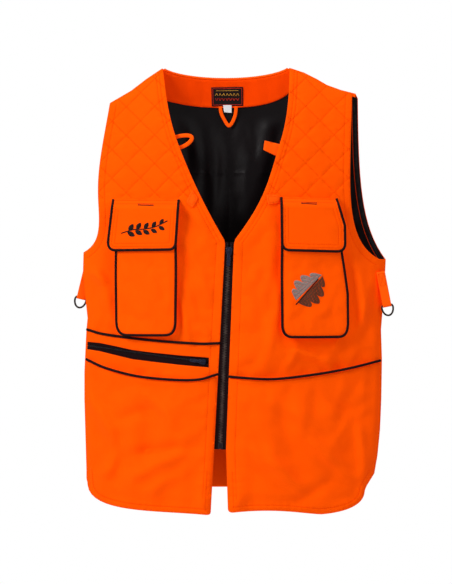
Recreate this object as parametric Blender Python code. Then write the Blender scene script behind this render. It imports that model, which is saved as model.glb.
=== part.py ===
"""Blaze orange field vest, hanging closed as it does on a hanger.

Frame: metres, +Z up, the front faces -Y, and the origin is the middle of the neck at the height of the two
neck points, where the shoulder seams start. Right and left are the wearer's, so right is at -X.

Every cloth piece is drawn flat, as an outline in the XZ plane, and is then laid between two surfaces that
follow the body of the vest. The front and back of the vest are each a shallow lens: they meet at the side
seams and along the shoulders, and are furthest apart in the middle.
"""

import math

import bmesh
import bpy
import numpy as np
from mathutils import Matrix, Vector
from mathutils.geometry import interpolate_bezier

MM = 0.001

# ---------------------------------------------------------------- driving dimensions, in millimetres

BACK_HEM_Z = -717.0
YOKE_Z = -208.0  # the shoulder yokes end here and the swinging fronts begin
FRONT_DEPTH = 46.0  # how far the front and the back stand out at the middle
BACK_DEPTH = 38.0
SEAM_DEPTH = 2.0  # half the gap that a seam closes
SHOULDER_FALL = 200.0  # the height over which a shoulder rounds out to full depth
NECK_HALF = 109.0
NECK_RISE = 60.0  # how far above the neck points the neck would close, were it cloth
COLUMN = 34.0  # the laid-out cloth bends along columns this wide
ROWS = (30, 5, -20, -45, -70, -95, -120, -150, -185, -235)  # and along rows at these heights
ROWS += (-315, -354, -427, -447, -508, -566, -617, -661, -690, -715)
GAP = 0.3

# Layers, as distances out of the lens surface. Negative ones are inside the vest.
SHELL = (0.0, 1.6)
TAPE = (-1.5, -0.5)
WADDING = (-3.7, -0.7)
ZIP_BAG = (-5.4, -4.4)
FRONT_LINING = (-7.2, -6.2)
BACK_LINING = (-2.3, -1.2)
FACING = (-4.4, -3.0)
LABEL = (-6.0, -5.0)
HANGER = (-8.0, -6.6)
ON_SHELL = 1.9

POCKET_TOP = 15.3  # outer face of a chest pocket
POCKET_WALL = 1.4
LOWER_POCKET_TOP = 11.3
LOWER_POCKET_EDGE = 3.6  # its height where it is stitched down
MOUTH_DROP = 3.4  # how far its mouth lies below the piping
FLAP = (18.2, 19.8)
LOOP_STRIP = (15.6, 16.6)
HOOK_STRIP = (16.9, 17.9)
CORD_RADIUS = 2.0
WAIST_CORD_RADIUS = 2.0

ZIP_TOP = (5.6, -301.0)
ZIP_BOTTOM = (-10.0, -649.0)
TOOTH_PITCH = 6.0
TOOTH_REACH = 3.2
TEETH = (-2.0, 0.2)

POCKET_ZIP_LEFT = (-31.0, -502.0)
POCKET_ZIP_RIGHT = (-228.0, -475.0)
POCKET_ZIP_HALF = 9.0  # half the height of the slot
SLIDER_AT = 12.0  # how far down the zip its slider is when closed
POCKET_SLIDER_AT = 9.0
PULL_OUT = 2.7
STRAP_WIDTH = 14.0
RING_WIRE = 1.6
RIGHT_HINGE = (-248.5, 0.0, -400.0)
LEFT_HINGE = (274.5, 0.0, -327.0)
FLAP_PIVOT_OUT = 4.0
D_RING_PLACES = {"right": (-248.0, 11.2, -392.0), "left": (274.5, -11.4, -405.0)}

# ---------------------------------------------------------------- outlines, in millimetres, as (x, z)

# A tuple of two is a corner. A tuple of six is a Bezier stretch: two handles and its end.
RIGHT_SIDE = [(-243, -315), (-244, -354), (-236, -427), (-238, -447), (-241.4, -518), (-241.4, -566), (-238, -685)]
LEFT_SIDE = [(272.5, -327), (270.3, -371), (264.4, -447), (266, -498), (264.9, -566), (262.7, -617), (258.4, -661)]
RIGHT_SIDE_END, LEFT_SIDE_END = (-236, -712), (253, -692)
RIGHT_SHOULDER = [(-198, -60), (-162, -39), (-136, -19), (-109, -1)]
LEFT_SHOULDER = [(109, 0), (133, -8), (155, -19), (172, -29), (197, -38), (221, -44)]

RIGHT_FRONT = [
    (-109, -1),
    (-103, -22, -105, -75, -77, -143),
    (-62, -182, -40, -232, -3.4, -294),
    (-2, -301),
    (-26.5, -762),
    (-120, -755, -222, -748, *RIGHT_SIDE_END),
    *reversed(RIGHT_SIDE),
    (-205, -296, -219, -250, -218, -205),
    (-218, -160, -204, -100, -198, -60),
    *RIGHT_SHOULDER[1:-1],
]
LEFT_FRONT = [
    (109, 0),
    *LEFT_SHOULDER[1:-1],
    (215, -42.5),
    (213, -100, 211, -150, 211, -190),
    (211, -262, 222, -308, 262, -327),
    *LEFT_SIDE,
    LEFT_SIDE_END,
    (240, -738, 212, -760, 162, -760),
    (128, -758, 85, -746, 3.5, -755),
    (0.5, -649),
    (14, -301),
    (16.3, -293),
    (68, -225, 72, -195, 92, -130),
    (107, -84, 108, -40, 109, 0),
]
BACK = [
    (-109, -1),
    (-75, -24, 75, -24, 109, 0),
    *LEFT_SHOULDER[1:],
    (225, -52),
    (227, -190, 230, -270, 272.5, -327),
    *LEFT_SIDE[1:],
    (256, -690),
    (254, BACK_HEM_Z, 236, BACK_HEM_Z, 215, BACK_HEM_Z),
    (-215, BACK_HEM_Z),
    (-230, BACK_HEM_Z, -237, -712, -238, -700),
    *reversed(RIGHT_SIDE),
    (-201, -296, -215, -250, -214, -205),
    (-214, -160, -202, -100, -198, -60),
    *RIGHT_SHOULDER[1:-1],
]
NECK_FACING = [
    (-104, -10),
    (-72, -28, 72, -28, 104, -9),
    (112, -36),
    (70, -62, 40, -66, 0, -66),
    (-60, -66, -60, -52, -108, -50),
]
BACK_HEM_FACING = [(-214, -714), (214, -714), (226, -640), (-226, -640)]

RIGHT_POCKET = [
    (-86.7, -243),
    (-86.7, -430),
    (-87, -448, -92, -454, -106, -454),
    (-166, -454),
    (-180, -454, -185.3, -446, -185.3, -428),
    (-185.3, -243),
]
LEFT_POCKET = [
    (193, -243),
    (195, -318),
    (205, -385),
    (206, -432),
    (206, -450, 202, -457, 188, -457),
    (114, -457),
    (102, -457, 96.4, -450, 96.4, -436),
    (96.4, -243),
]
RIGHT_FLAP = [
    (-82, -226),
    (-86.5, -296),
    (-87, -305, -90, -309, -98, -309),
    (-187, -310),
    (-196, -310, -199, -305, -198.5, -296),
    (-190, -225),
]
LEFT_FLAP = [
    (186, -224),
    (200, -270),
    (200.4, -300),
    (200.4, -308, 196, -312, 188, -312),
    (108, -310),
    (100, -310, 96.6, -305, 96.6, -298),
    (95.6, -222),
]

RIGHT_UPPER_PIPING = [(-236, -447), (-204, -455), (-126, -464.5), (-48, -470), (-15, -469.5)]
RIGHT_LOWER_PIPING = [(-237, -498), (-204, -512), (-153, -525), (-95, -531), (-48, -531), (-18, -523)]
LEFT_PIPING = [(7.5, -526), (30, -528), (81, -530), (147, -523), (206, -513), (261, -500)]

# ---------------------------------------------------------------- the lens that the cloth follows


def shoulder_height(x):
    """Height at which front and back meet: the shoulder seams, and a raised line over the open neck."""
    if abs(x) < NECK_HALF:
        return NECK_RISE * (1 - (x / NECK_HALF) ** 2)
    line = [(-285, -105), *RIGHT_SHOULDER, *LEFT_SHOULDER, (285, -64)]
    return float(np.interp(x, *zip(*line)))


def side_share(x, z):
    """1 in the middle of the vest and 0 at both side seams."""
    right, left = (
        float(np.interp(-z, [-p[1] for p in line], [p[0] for p in line]))
        for line in ([*RIGHT_SIDE, RIGHT_SIDE_END], [*LEFT_SIDE, LEFT_SIDE_END])
    )
    across = (2 * x - left - right) / (left - right)
    return max(0.0, 1 - across**2)


def depth(x, z, full):
    """How far the lens surface stands from the XZ plane."""
    fallen = min(1.0, max(0.0, (shoulder_height(x) - z) / SHOULDER_FALL))
    return SEAM_DEPTH + full * side_share(x, z) * (1 - (1 - fallen) ** 2.2)


def layer(side, out):
    """The surface at a distance out of the lens: side is -1 for the front and 1 for the back.

    A layer inside the vest closes up towards the seams, where there is little room between front and back.
    out is a number, or a function of x and z.
    """
    full = FRONT_DEPTH if side < 0 else BACK_DEPTH

    def surface(x, z):
        stands = depth(x, z, full)
        distance = out(x, z) if callable(out) else out
        if distance < 0:
            distance *= min(1.0, (stands - 0.35) / 7.6)
        return side * (stands + distance)

    return surface


def front(out):
    return layer(-1, out)


def back(out):
    return layer(1, out)


def on_front(x, z, out=0.0):
    """The point of the front at x and z, in millimetres."""
    return Vector((x, front(out)(x, z), z))


# ---------------------------------------------------------------- building tools


def clear_scene():
    for obj in list(bpy.data.objects):
        bpy.data.objects.remove(obj, do_unlink=True)


def make_materials():
    looks = {
        "orange_twill": ((1.0, 0.10, 0.0), 0.85, 0.0),
        "black_lining": ((0.012, 0.009, 0.010), 0.55, 0.0),
        "dark_trim": ((0.025, 0.008, 0.008), 0.8, 0.0),
        "wadding": ((0.8, 0.8, 0.78), 0.95, 0.0),
        "zip_plastic": ((0.03, 0.02, 0.025), 0.35, 0.0),
        "dark_metal": ((0.12, 0.08, 0.06), 0.35, 1.0),
        "label_cloth": ((0.02, 0.012, 0.01), 0.6, 0.0),
        "white_tag": ((0.8, 0.8, 0.8), 0.7, 0.0),
    }
    made = {}
    for name, (colour, roughness, metallic) in looks.items():
        material = bpy.data.materials.new(name)
        material.use_nodes = True
        shader = material.node_tree.nodes["Principled BSDF"]
        shader.inputs["Base Color"].default_value = (*colour, 1)
        shader.inputs["Roughness"].default_value = roughness
        shader.inputs["Metallic"].default_value = metallic
        made[name] = material
    return made


def add_object(name, data, material, hidden=False):
    obj = bpy.data.objects.new(name, data)
    bpy.context.scene.collection.objects.link(obj)
    if material:
        data.materials.append(MATERIALS[material])
    if hidden:
        obj.hide_render = True
        obj.display_type = "WIRE"
    return obj


def trace(outline, steps=7):
    """The points of an outline, with its Bezier stretches worked out."""
    points = []
    for part in outline:
        if len(part) == 2:
            points.append(Vector(part))
        else:
            start, a, b, end = points[-1], part[0:2], part[2:4], part[4:6]
            curve = interpolate_bezier(start, Vector(a), Vector(b), Vector(end), steps)
            points += [Vector(p[:2]) for p in curve[1:]]
    if (points[0] - points[-1]).length < 1e-3:
        points.pop()
    return points


def strip(start, end, low, high):
    """A straight strip's outline: low and high are its edges, measured to the left of start to end."""
    start, end = Vector(start), Vector(end)
    along = (end - start).normalized()
    left = Vector((-along.y, along.x))
    return [start + low * left, end + low * left, end + high * left, start + high * left]


def flat_face(bm, outline):
    face = bm.faces.new([bm.verts.new((x, 0, z)) for x, z in outline])
    bm.normal_update()
    return face


def inset(outline, distance):
    """The outline drawn in by a distance all round."""
    bm = bmesh.new()
    face = flat_face(bm, outline)
    bmesh.ops.inset_region(bm, faces=[face], thickness=distance, use_boundary=True, use_even_offset=True)
    points = [Vector((v.co.x, v.co.z)) for v in face.verts]
    bm.free()
    return points


def cut(bm, at, normal, **clear):
    geometry = bm.verts[:] + bm.edges[:] + bm.faces[:]
    bmesh.ops.bisect_plane(bm, geom=geometry, plane_co=at, plane_no=normal, **clear)


def sheet(name, outline, inner, outer, material, column=COLUMN, rows=ROWS, rim=0.0, keep=(), hidden=False):
    """A closed solid between two surfaces, over a flat outline.

    rim adds a ring of corners at that distance inside the outline. keep holds half planes as (point,
    direction): cloth beyond the point in that direction is cut away.
    """
    bm = bmesh.new()
    face = flat_face(bm, outline)
    if rim:
        bmesh.ops.inset_region(bm, faces=[face], thickness=rim, use_boundary=True, use_even_offset=True)
    for (x, z), (across, up) in keep:
        cut(bm, (x, 0, z), (across, 0, up), clear_outer=True)
    low = min(v.co.x for v in bm.verts)
    high = max(v.co.x for v in bm.verts)
    for number in range(math.ceil((low + 1) / column), math.ceil((high - 1) / column)):
        cut(bm, (number * column, 0, 0), (1, 0, 0))
    low = min(v.co.z for v in bm.verts)
    high = max(v.co.z for v in bm.verts)
    for row in rows:
        if low + 1 < row < high - 1:
            cut(bm, (0, 0, row), (0, 0, 1))
    bmesh.ops.triangulate(bm, faces=bm.faces[:])
    base = list(bm.verts)
    raised = bmesh.ops.extrude_face_region(bm, geom=bm.faces[:])["geom"]
    for v in base:
        v.co.y = inner(v.co.x, v.co.z)
    for v in raised:
        if isinstance(v, bmesh.types.BMVert):
            v.co.y = outer(v.co.x, v.co.z)
    bmesh.ops.scale(bm, vec=(MM, MM, MM), verts=bm.verts[:])
    bmesh.ops.recalc_face_normals(bm, faces=bm.faces[:])
    mesh = bpy.data.meshes.new(name)
    bm.to_mesh(mesh)
    bm.free()
    return add_object(name, mesh, material, hidden)


def front_sheet(name, outline, layers, material, **more):
    return sheet(name, outline, front(layers[0]), front(layers[1]), material, **more)


def back_sheet(name, outline, layers, material, **more):
    return sheet(name, outline, back(layers[0]), back(layers[1]), material, **more)


def boolean(obj, other, operation="DIFFERENCE"):
    modifier = obj.modifiers.new(other.name, "BOOLEAN")
    modifier.operation = operation
    modifier.object = other
    other.hide_render = True
    other.display_type = "WIRE"
    return obj


def smooth_route(points, spacing):
    """A smooth curve through a route's own points, read at an even spacing."""
    points = [Vector(p) for p in points]
    ends = [2 * points[0] - points[1], *points, 2 * points[-1] - points[-2]]
    fine = []
    for a, b, c, d in zip(ends, ends[1:], ends[2:], ends[3:]):
        for step in range(12):
            t = step / 12
            fine.append(
                0.5 * (2 * b + (c - a) * t + (2 * a - 5 * b + 4 * c - d) * t**2 + (3 * b - a - 3 * c + d) * t**3)
            )
    fine.append(points[-1])
    along = np.concatenate([[0], np.cumsum([(q - p).length for p, q in zip(fine, fine[1:])])])
    places = np.linspace(0, along[-1], max(3, round(along[-1] / spacing)))
    return [Vector([np.interp(s, along, [p[k] for p in fine]) for k in range(len(fine[0]))]) for s in places]


def spaced(points, most):
    """The points of a run, with more between them where they are further apart than most."""
    found = [points[0]]
    for a, b in zip(points, points[1:]):
        pieces = math.ceil((b - a).length / most)
        found += [a.lerp(b, (k + 1) / pieces) for k in range(pieces)]
    return found


def cord(name, points, radius, material, closed=False):
    """A round cord along points in millimetres."""
    curve = bpy.data.curves.new(name, "CURVE")
    curve.dimensions = "3D"
    curve.bevel_depth = radius * MM
    curve.bevel_resolution = 1
    curve.use_fill_caps = not closed
    spline = curve.splines.new("POLY")
    spline.points.add(len(points) - 1)
    for slot, point in zip(spline.points, points):
        slot.co = (*(Vector(point) * MM), 1)
    spline.use_cyclic_u = closed
    return add_object(name, curve, material)


def block(name, size, place, axes, material=None, hidden=False, bevel=0.0):
    """A box of a size, centred on a place, in millimetres, turned to the columns of axes."""
    bm = bmesh.new()
    bmesh.ops.create_cube(bm, size=1.0)
    bmesh.ops.scale(bm, vec=size, verts=bm.verts[:])
    if bevel:
        bmesh.ops.bevel(bm, geom=bm.edges[:], offset=bevel, segments=1, affect="EDGES")
    bmesh.ops.transform(bm, matrix=axes.to_4x4(), verts=bm.verts[:])
    bmesh.ops.translate(bm, vec=place, verts=bm.verts[:])
    bmesh.ops.scale(bm, vec=(MM, MM, MM), verts=bm.verts[:])
    mesh = bpy.data.meshes.new(name)
    bm.to_mesh(mesh)
    bm.free()
    return add_object(name, mesh, material, hidden)


def axes_on_front(along, x, z):
    """Columns: across the line, along it, and out of the cloth, for a line drawn on the front at x, z."""
    step = 4.0
    along = Vector(along).normalized()
    ahead = on_front(x + along.x * step, z + along.y * step) - on_front(x - along.x * step, z - along.y * step)
    ahead.normalize()
    level = Vector((-along.y, along.x))
    over = on_front(x + level.x * step, z + level.y * step) - on_front(x - level.x * step, z - level.y * step)
    out = ahead.cross(over).normalized()
    if out.y > 0:
        out = -out
    across = ahead.cross(out).normalized()
    return Matrix((across, ahead, out)).transposed()


# ---------------------------------------------------------------- the vest's pieces


def make_fronts():
    """Each front is a quilted yoke, which stays on the shoulder, and a panel that swings open."""
    above, below = ((0, YOKE_Z + GAP / 2), (0, -1)), ((0, YOKE_Z - GAP / 2), (0, 1))
    slot = strip(POCKET_ZIP_LEFT, POCKET_ZIP_RIGHT, -POCKET_ZIP_HALF, POCKET_ZIP_HALF)
    slot_cutter = front_sheet("pocket_zip_slot", slot, (-1.5, 3.0), None, hidden=True)
    for side, outline in (("right", trace(RIGHT_FRONT)), ("left", trace(LEFT_FRONT))):
        seam = ((-226, 0), (-1, 0)) if side == "right" else ((252, 0), (1, 0))
        front_sheet(f"{side}_yoke", outline, SHELL, "orange_twill", keep=[above])
        panel = front_sheet(f"{side}_front_panel", outline, SHELL, "orange_twill", keep=[below])
        if side == "right":
            boolean(panel, slot_cutter)
        inner = inset(outline, 10.0)
        front_sheet(f"{side}_yoke_wadding", inner, WADDING, "wadding", keep=[above])
        inner = inset(outline, 8.0)
        front_sheet(f"{side}_yoke_lining", inner, FRONT_LINING, "black_lining", keep=[above])
        front_sheet(f"{side}_front_lining", inner, FRONT_LINING, "black_lining", keep=[below, seam])


def make_back():
    outline = trace(BACK)
    back_sheet("back_panel", outline, SHELL, "orange_twill")
    seams = [((-222, 0), (-1, 0)), ((248, 0), (1, 0))]
    back_sheet("back_lining", inset(outline, 8.0), BACK_LINING, "black_lining", keep=seams)
    back_sheet("neck_facing", trace(NECK_FACING), FACING, "orange_twill")
    back_sheet("back_hem_facing", BACK_HEM_FACING, FACING, "orange_twill")
    rim = smooth_route(edge_route(trace(BACK[:2], 10), 1.6 + 3 * GAP)[1:-1], 20)
    cord("collar_binding", [(p.x, back(SHELL[0])(p.x, p.y) + 0.6, p.y) for p in rim], 1.6, "orange_twill")
    label = [(-25, -32), (29, -31), (29.5, -63), (-24, -64)]
    back_sheet("neck_label", label, LABEL, "label_cloth")
    tag = [(-5, -65), (9.5, -65), (9.5, -75), (-3, -73)]
    back_sheet("size_tag", tag, (-5.6, -4.9), "white_tag")
    loop = [(-13, -66), (-10, -80), (2, -99), (6, -101.5), (11, -99), (17, -84), (20, -66), (13, -66), (12, -80)]
    loop += [(7, -93), (5, -93), (-3, -80), (-6, -66)]
    back_sheet("hanger_loop", loop, HANGER, "orange_twill")


def make_seams():
    """Seam allowances: narrow strips between front and back, which join them at the sides and shoulders."""
    lines = {
        "right_side_seam": ([*RIGHT_SIDE, (-237.6, -694)], 7.0),
        "left_side_seam": (list(reversed(LEFT_SIDE)), -7.0),
        "right_shoulder_seam": ([(-109, -4), *reversed(RIGHT_SHOULDER[:-1])], -6.0),
        "left_shoulder_seam": ([(221, -44), *reversed(LEFT_SHOULDER[:-1])], 6.0),
    }
    for name, (line, width) in lines.items():
        line = [Vector(p) for p in line]
        shift = Vector((width, 0)) if "side" in name else Vector((0, -abs(width)))
        edge = 0.4 * shift / abs(width)
        outline = [p + edge for p in line] + [p + shift for p in reversed(line)]
        sheet(name, outline, lambda x, z: -1.0, lambda x, z: 1.0, "orange_twill")


def make_lower_pockets():
    """Patch pockets over the lower fronts: the cloth lifts off the panel, and the mouth is edged with piping."""
    for side, outline, piping, line in (
        ("right", trace(RIGHT_FRONT), "right_lower_piping", RIGHT_LOWER_PIPING),
        ("left", trace(LEFT_FRONT), "left_waist_piping", LEFT_PIPING),
    ):
        drop = Vector((0, MOUTH_DROP))
        mouth = [p - drop for p in smooth_route(line, 24)]
        edge = [p for p in inset(outline, 3.0) if p.y < np.interp(p.x, *zip(*mouth)) - 2]
        stitched = [edge[0] + Vector((0, 200)), *edge, edge[-1] + Vector((0, 200))]

        def outer(x, z, stitched=stitched):
            lift = min(1.0, to_line(Vector((x, z)), stitched) / 26.0) ** 0.6
            return LOWER_POCKET_EDGE + (LOWER_POCKET_TOP - LOWER_POCKET_EDGE) * lift

        def hollow(x, z, outer=outer):
            return outer(x, z) - POCKET_WALL

        pocket = front_sheet(f"{side}_lower_pocket", edge + mouth, (ON_SHELL, outer), "orange_twill", rim=26)
        inner = inset(edge + mouth, 4.0)
        inner = [p + Vector((0, 20)) if to_line(p, mouth) < 5.0 else p for p in inner]
        boolean(pocket, front_sheet(f"{side}_pocket_room", inner, (1.0, hollow), None, rim=22, hidden=True))
        route = [on_front(*(p + drop), outer(*p)) for p in smooth_route([q - drop for q in map(Vector, line)], 15)]
        cord(piping, route, WAIST_CORD_RADIUS, "dark_trim")


def distance_to(point, a, b):
    share = max(0.0, min(1.0, (point - a).dot(b - a) / max((b - a).length_squared, 1e-9)))
    return (point - a - share * (b - a)).length


def to_line(point, line):
    return min(distance_to(point, a, b) for a, b in zip(line, line[1:]))


def flap_out(outline, base):
    """A flap leaves the panel at its top seam and stands over the pocket a finger's width below it."""
    start, end = outline[-1], outline[0]

    def out(x, z):
        seam = start.y + (end.y - start.y) * (x - start.x) / (end.x - start.x)
        fallen = min(1.0, max(0.0, (seam - z) / 15.0))
        return ON_SHELL + base + (FLAP[0] - ON_SHELL) * fallen**2 * (3 - 2 * fallen)

    return out


def edge_route(run, away):
    """Points along an open run of an outline, moved off its edge to the left."""
    moved = []
    for number, point in enumerate(run):
        before, after = run[max(0, number - 1)], run[min(len(run) - 1, number + 1)]
        along = (after - before).normalized()
        moved.append(point + away * Vector((-along.y, along.x)))
    return moved


def make_chest_pocket(side, pocket_shape, flap_shape):
    pocket = trace(pocket_shape, 4)
    body = front_sheet(f"{side}_chest_pocket", pocket, (ON_SHELL, POCKET_TOP), "orange_twill")
    inner = [p + Vector((0, 30)) if p.y > -245 else p for p in inset(pocket, POCKET_WALL)]
    hollow = front_sheet(f"{side}_pocket_hollow", inner, (1.0, POCKET_TOP - POCKET_WALL), None, hidden=True)
    boolean(body, hollow)
    away = CORD_RADIUS + 2 * GAP
    route = spaced(edge_route(pocket, away), 34)
    cord(
        f"{side}_pocket_piping",
        [on_front(p.x, p.y, POCKET_TOP - CORD_RADIUS) for p in route],
        CORD_RADIUS,
        "dark_trim",
    )
    flap = trace(flap_shape, 4)
    rows = [flap[0].y - fall for fall in (1, 5, 9, 12, 15, 50)]
    surfaces = flap_out(flap, 0.0), flap_out(flap, FLAP[1] - FLAP[0])
    sheet_of_flap = front_sheet(f"{side}_flap", flap, surfaces, "orange_twill", rows=rows)
    middle = (flap[0] + flap[-1]) / 2
    slit = strip((middle.x - 14, middle.y - 9.5), (middle.x + 14, middle.y - 10.5), -0.6, 0.6)
    boolean(sheet_of_flap, front_sheet(f"{side}_pen_slit", slit, (0.0, 30.0), None, hidden=True))
    down = [flap[0].lerp(flap[1], 0.1), *flap[1:-1], flap[-1].lerp(flap[-2], 0.1)]
    route = spaced(edge_route(down, away), 9)
    over = flap_out(flap, (FLAP[1] - FLAP[0]) / 2)
    cord(f"{side}_flap_piping", [on_front(p.x, p.y, over(p.x, p.y)) for p in route], CORD_RADIUS, "dark_trim")
    low = min(p.y for p in flap) + 12
    fastener = [(middle.x - 32, low), (middle.x + 32, low), (middle.x + 32, low + 18), (middle.x - 32, low + 18)]
    front_sheet(f"{side}_pocket_loop_strip", fastener, LOOP_STRIP, "dark_trim")
    front_sheet(f"{side}_flap_hook_strip", fastener, HOOK_STRIP, "dark_trim")


def make_upper_piping():
    """The cord above the pocket zip, which only the right front has."""
    route = smooth_route(RIGHT_UPPER_PIPING, 15)
    out = ON_SHELL + WAIST_CORD_RADIUS + GAP
    cord("right_upper_piping", [on_front(p.x, p.y, out) for p in route], WAIST_CORD_RADIUS, "dark_trim")


def make_small_loops():
    """Folded tape loops on the neck edge: one pair inside the yokes, one pair stitched on the chest."""
    shapes = {
        "right_neck_loop": [(-90, -121), (-58, -118), (-58, -126), (-66, -136), (-83, -143)],
        "left_neck_loop": [(66, -126), (98, -133), (92, -154), (64, -141)],
    }
    for name, outline in shapes.items():
        front_sheet(name, outline, (-5.7, -4.5), "orange_twill")
    tabs = {
        "right_chest_tab": [(-56, -212.5), (-49, -224), (-58, -238), (-66, -231)],
        "left_chest_tab": [(70, -219), (90, -220), (91, -230), (72, -234)],
    }
    for name, outline in tabs.items():
        front_sheet(name, outline, (ON_SHELL, 3.6), "orange_twill")


def zip_point(down, across=0.0):
    """A place on the front zip: down its length from the top, and across it towards the wearer's left."""
    top, bottom = Vector(ZIP_TOP), Vector(ZIP_BOTTOM)
    along = (bottom - top).normalized()
    return top + down * along + across * Vector((-along.y, along.x))


def pocket_zip_point(along):
    """A place on the pocket zip, measured from its end at the front edge."""
    start, end = Vector(POCKET_ZIP_LEFT), Vector(POCKET_ZIP_RIGHT)
    return start + along * (end - start).normalized()


def comb(first, last, side, offset):
    """A row of teeth: a spine with a tooth at each pitch, which reaches over the zip's middle."""
    spine, root, reach = side * TOOTH_REACH, side * 2.2, -side * 1.8
    half = TOOTH_PITCH / 4 - GAP / 2
    points = [zip_point(first, spine), zip_point(first, root)]
    at = first + offset
    while at + half < last:
        points += [zip_point(at - half, root), zip_point(at - half, reach)]
        points += [zip_point(at + half, reach), zip_point(at + half, root)]
        at += TOOTH_PITCH
    points += [zip_point(last, root), zip_point(last, spine)]
    return points


def make_slider(name, place, axes, scale=1.0):
    """A zip slider: two plates joined by a post, with a lip on each side and a bail that holds the pull."""

    front_plate, rear_plate = 1.1, -2.9
    body = block(name, (scale * 10, scale * 12, 1.2), place + axes @ Vector((0, 0, front_plate)), axes, "zip_plastic")
    pieces = [
        block(f"{name}_rear", (scale * 10, scale * 12, 1.2), place + axes @ Vector((0, 0, rear_plate)), axes),
        block(f"{name}_post", (scale * 2.4, scale * 3, 5.0), place + axes @ Vector((0, -scale * 4.4, -0.9)), axes),
        block(f"{name}_bail", (1.8, scale * 8, 0.9), place + axes @ Vector((0, 0, 4.3)), axes),
        block(f"{name}_bail_top", (1.6, 1.1, 3.1), place + axes @ Vector((0, 0.65 - scale * 4, 3.0)), axes),
        block(f"{name}_bail_low", (1.6, 1.1, 3.1), place + axes @ Vector((0, scale * 4 - 0.65, 3.0)), axes),
    ]
    for side in (-1, 1):
        lip = Vector((side * scale * 4.3, 0, 0.25))
        pieces.append(block(f"{name}_lip{side}", (scale * 1.0, scale * 11.4, 0.8), place + axes @ lip, axes))
    for piece in pieces:
        boolean(body, piece, "UNION")
    return body


def make_pull(name, place, axes, length):
    """A zip pull: a flat tab whose eye goes round the slider's bail. It turns about the bar of the eye."""
    tab = block(name, (5.6, length, 1.0), place + axes @ Vector((0, length / 2 - 0.5, PULL_OUT)), axes, "zip_plastic")
    eye = block(f"{name}_eye", (3.0, 6.4, 3.0), place + axes @ Vector((0, 0.5 + 3.2, PULL_OUT)), axes, hidden=True)
    return boolean(tab, eye)


def make_main_zip():
    """Tapes, teeth, stops, slider and pull of the front zip, which opens from the top down."""
    length = (Vector(ZIP_BOTTOM) - Vector(ZIP_TOP)).length
    down = zip_point(1) - zip_point(0)
    tapes = {}
    for side, sign, offset in (("right", -1, 2.0), ("left", 1, 2.0 + TOOTH_PITCH / 2)):
        tape = strip(zip_point(-3), zip_point(length), sign * (TOOTH_REACH + GAP), sign * 15.0)
        if sign > 0:
            tape.reverse()
        tapes[side] = front_sheet(f"{side}_zip_tape", tape, TAPE, "dark_trim")
        teeth = comb(11, length - 12, sign, offset)
        front_sheet(f"{side}_zip_teeth", teeth, TEETH, "zip_plastic", column=1000, rows=(-390, -490, -580))
        at = zip_point(2.0, sign * 5.2)
        axes = axes_on_front(down, at.x, at.y)
        boolean(tapes[side], block(f"{side}_top_stop", (2.8, 3.4, 2.2), on_front(at.x, at.y, 0.0), axes), "UNION")
    at = zip_point(length - 5.5, -2.3)
    pin = block("insertion_pin", (3.2, 11.0, 1.8), on_front(at.x, at.y, -0.9), axes_on_front(down, at.x, at.y))
    boolean(tapes["right"], pin, "UNION")
    at = zip_point(SLIDER_AT)
    axes = axes_on_front(down, at.x, at.y)
    make_slider("zip_slider", on_front(at.x, at.y), axes)
    make_pull("zip_pull", on_front(at.x, at.y), axes, 27.0)
    at = zip_point(length - 4.5, 1.9)
    axes = axes_on_front(down, at.x, at.y)
    wall = block("retainer_box", (2.6, 9.0, 3.6), on_front(at.x, at.y, -1.8), axes, "zip_plastic")
    at = zip_point(length - 4.5, 0.0)
    boolean(wall, block("retainer_floor", (6.4, 9.0, 1.2), on_front(at.x, at.y, -3.0), axes), "UNION")


def make_pocket_zip():
    """The slanting zip of the lower right pocket: two tapes with a coil edge each, a slider and its pull."""
    start, end = Vector(POCKET_ZIP_LEFT), Vector(POCKET_ZIP_RIGHT)
    along = (end - start).normalized()
    bead, reach = (-1.9, 0.1), POCKET_ZIP_HALF + 3.0
    for name, sign in (("upper", -1), ("lower", 1)):
        outline = strip(start, end, sign * 2.8, sign * reach)
        edge = strip(start + along * 7.6, end, sign * 0.15, sign * 3.2)
        if sign > 0:
            outline.reverse()
            edge.reverse()
        tape = front_sheet(f"pocket_zip_{name}_tape", outline, TAPE, "dark_trim")
        boolean(tape, front_sheet(f"pocket_zip_{name}_coil", edge, bead, None, hidden=True), "UNION")
    place = pocket_zip_point(POCKET_SLIDER_AT)
    axes = axes_on_front(along, place.x, place.y)
    make_slider("pocket_zip_slider", on_front(place.x, place.y), axes, 0.85)
    make_pull("pocket_zip_pull", on_front(place.x, place.y), axes, 22.0)
    bag = [(-34, -490), (-34, -508), (-40, -640), (-200, -630), (-214, -600), (-214, -466)]
    front_sheet("zip_pocket_bag", bag, ZIP_BAG, "black_lining")


def band(name, path, width_axis, width, thickness, material):
    """A closed loop of tape: path is its middle line in millimetres, and width_axis the way it is wide."""
    width_axis = Vector(width_axis).normalized()
    bm = bmesh.new()
    rings = []
    for number, point in enumerate(path):
        along = (path[(number + 1) % len(path)] - path[number - 1]).normalized()
        normal = along.cross(width_axis).normalized()
        corners = [(-1, -1), (1, -1), (1, 1), (-1, 1)]
        ring = [point + a * width / 2 * width_axis + b * thickness / 2 * normal for a, b in corners]
        rings.append([bm.verts.new(p * MM) for p in ring])
    for ring, following in zip(rings, rings[1:] + rings[:1]):
        for k in range(4):
            bm.faces.new((ring[k], ring[(k + 1) % 4], following[(k + 1) % 4], following[k]))
    bmesh.ops.recalc_face_normals(bm, faces=bm.faces[:])
    mesh = bpy.data.meshes.new(name)
    bm.to_mesh(mesh)
    bm.free()
    return add_object(name, mesh, material)


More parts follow.
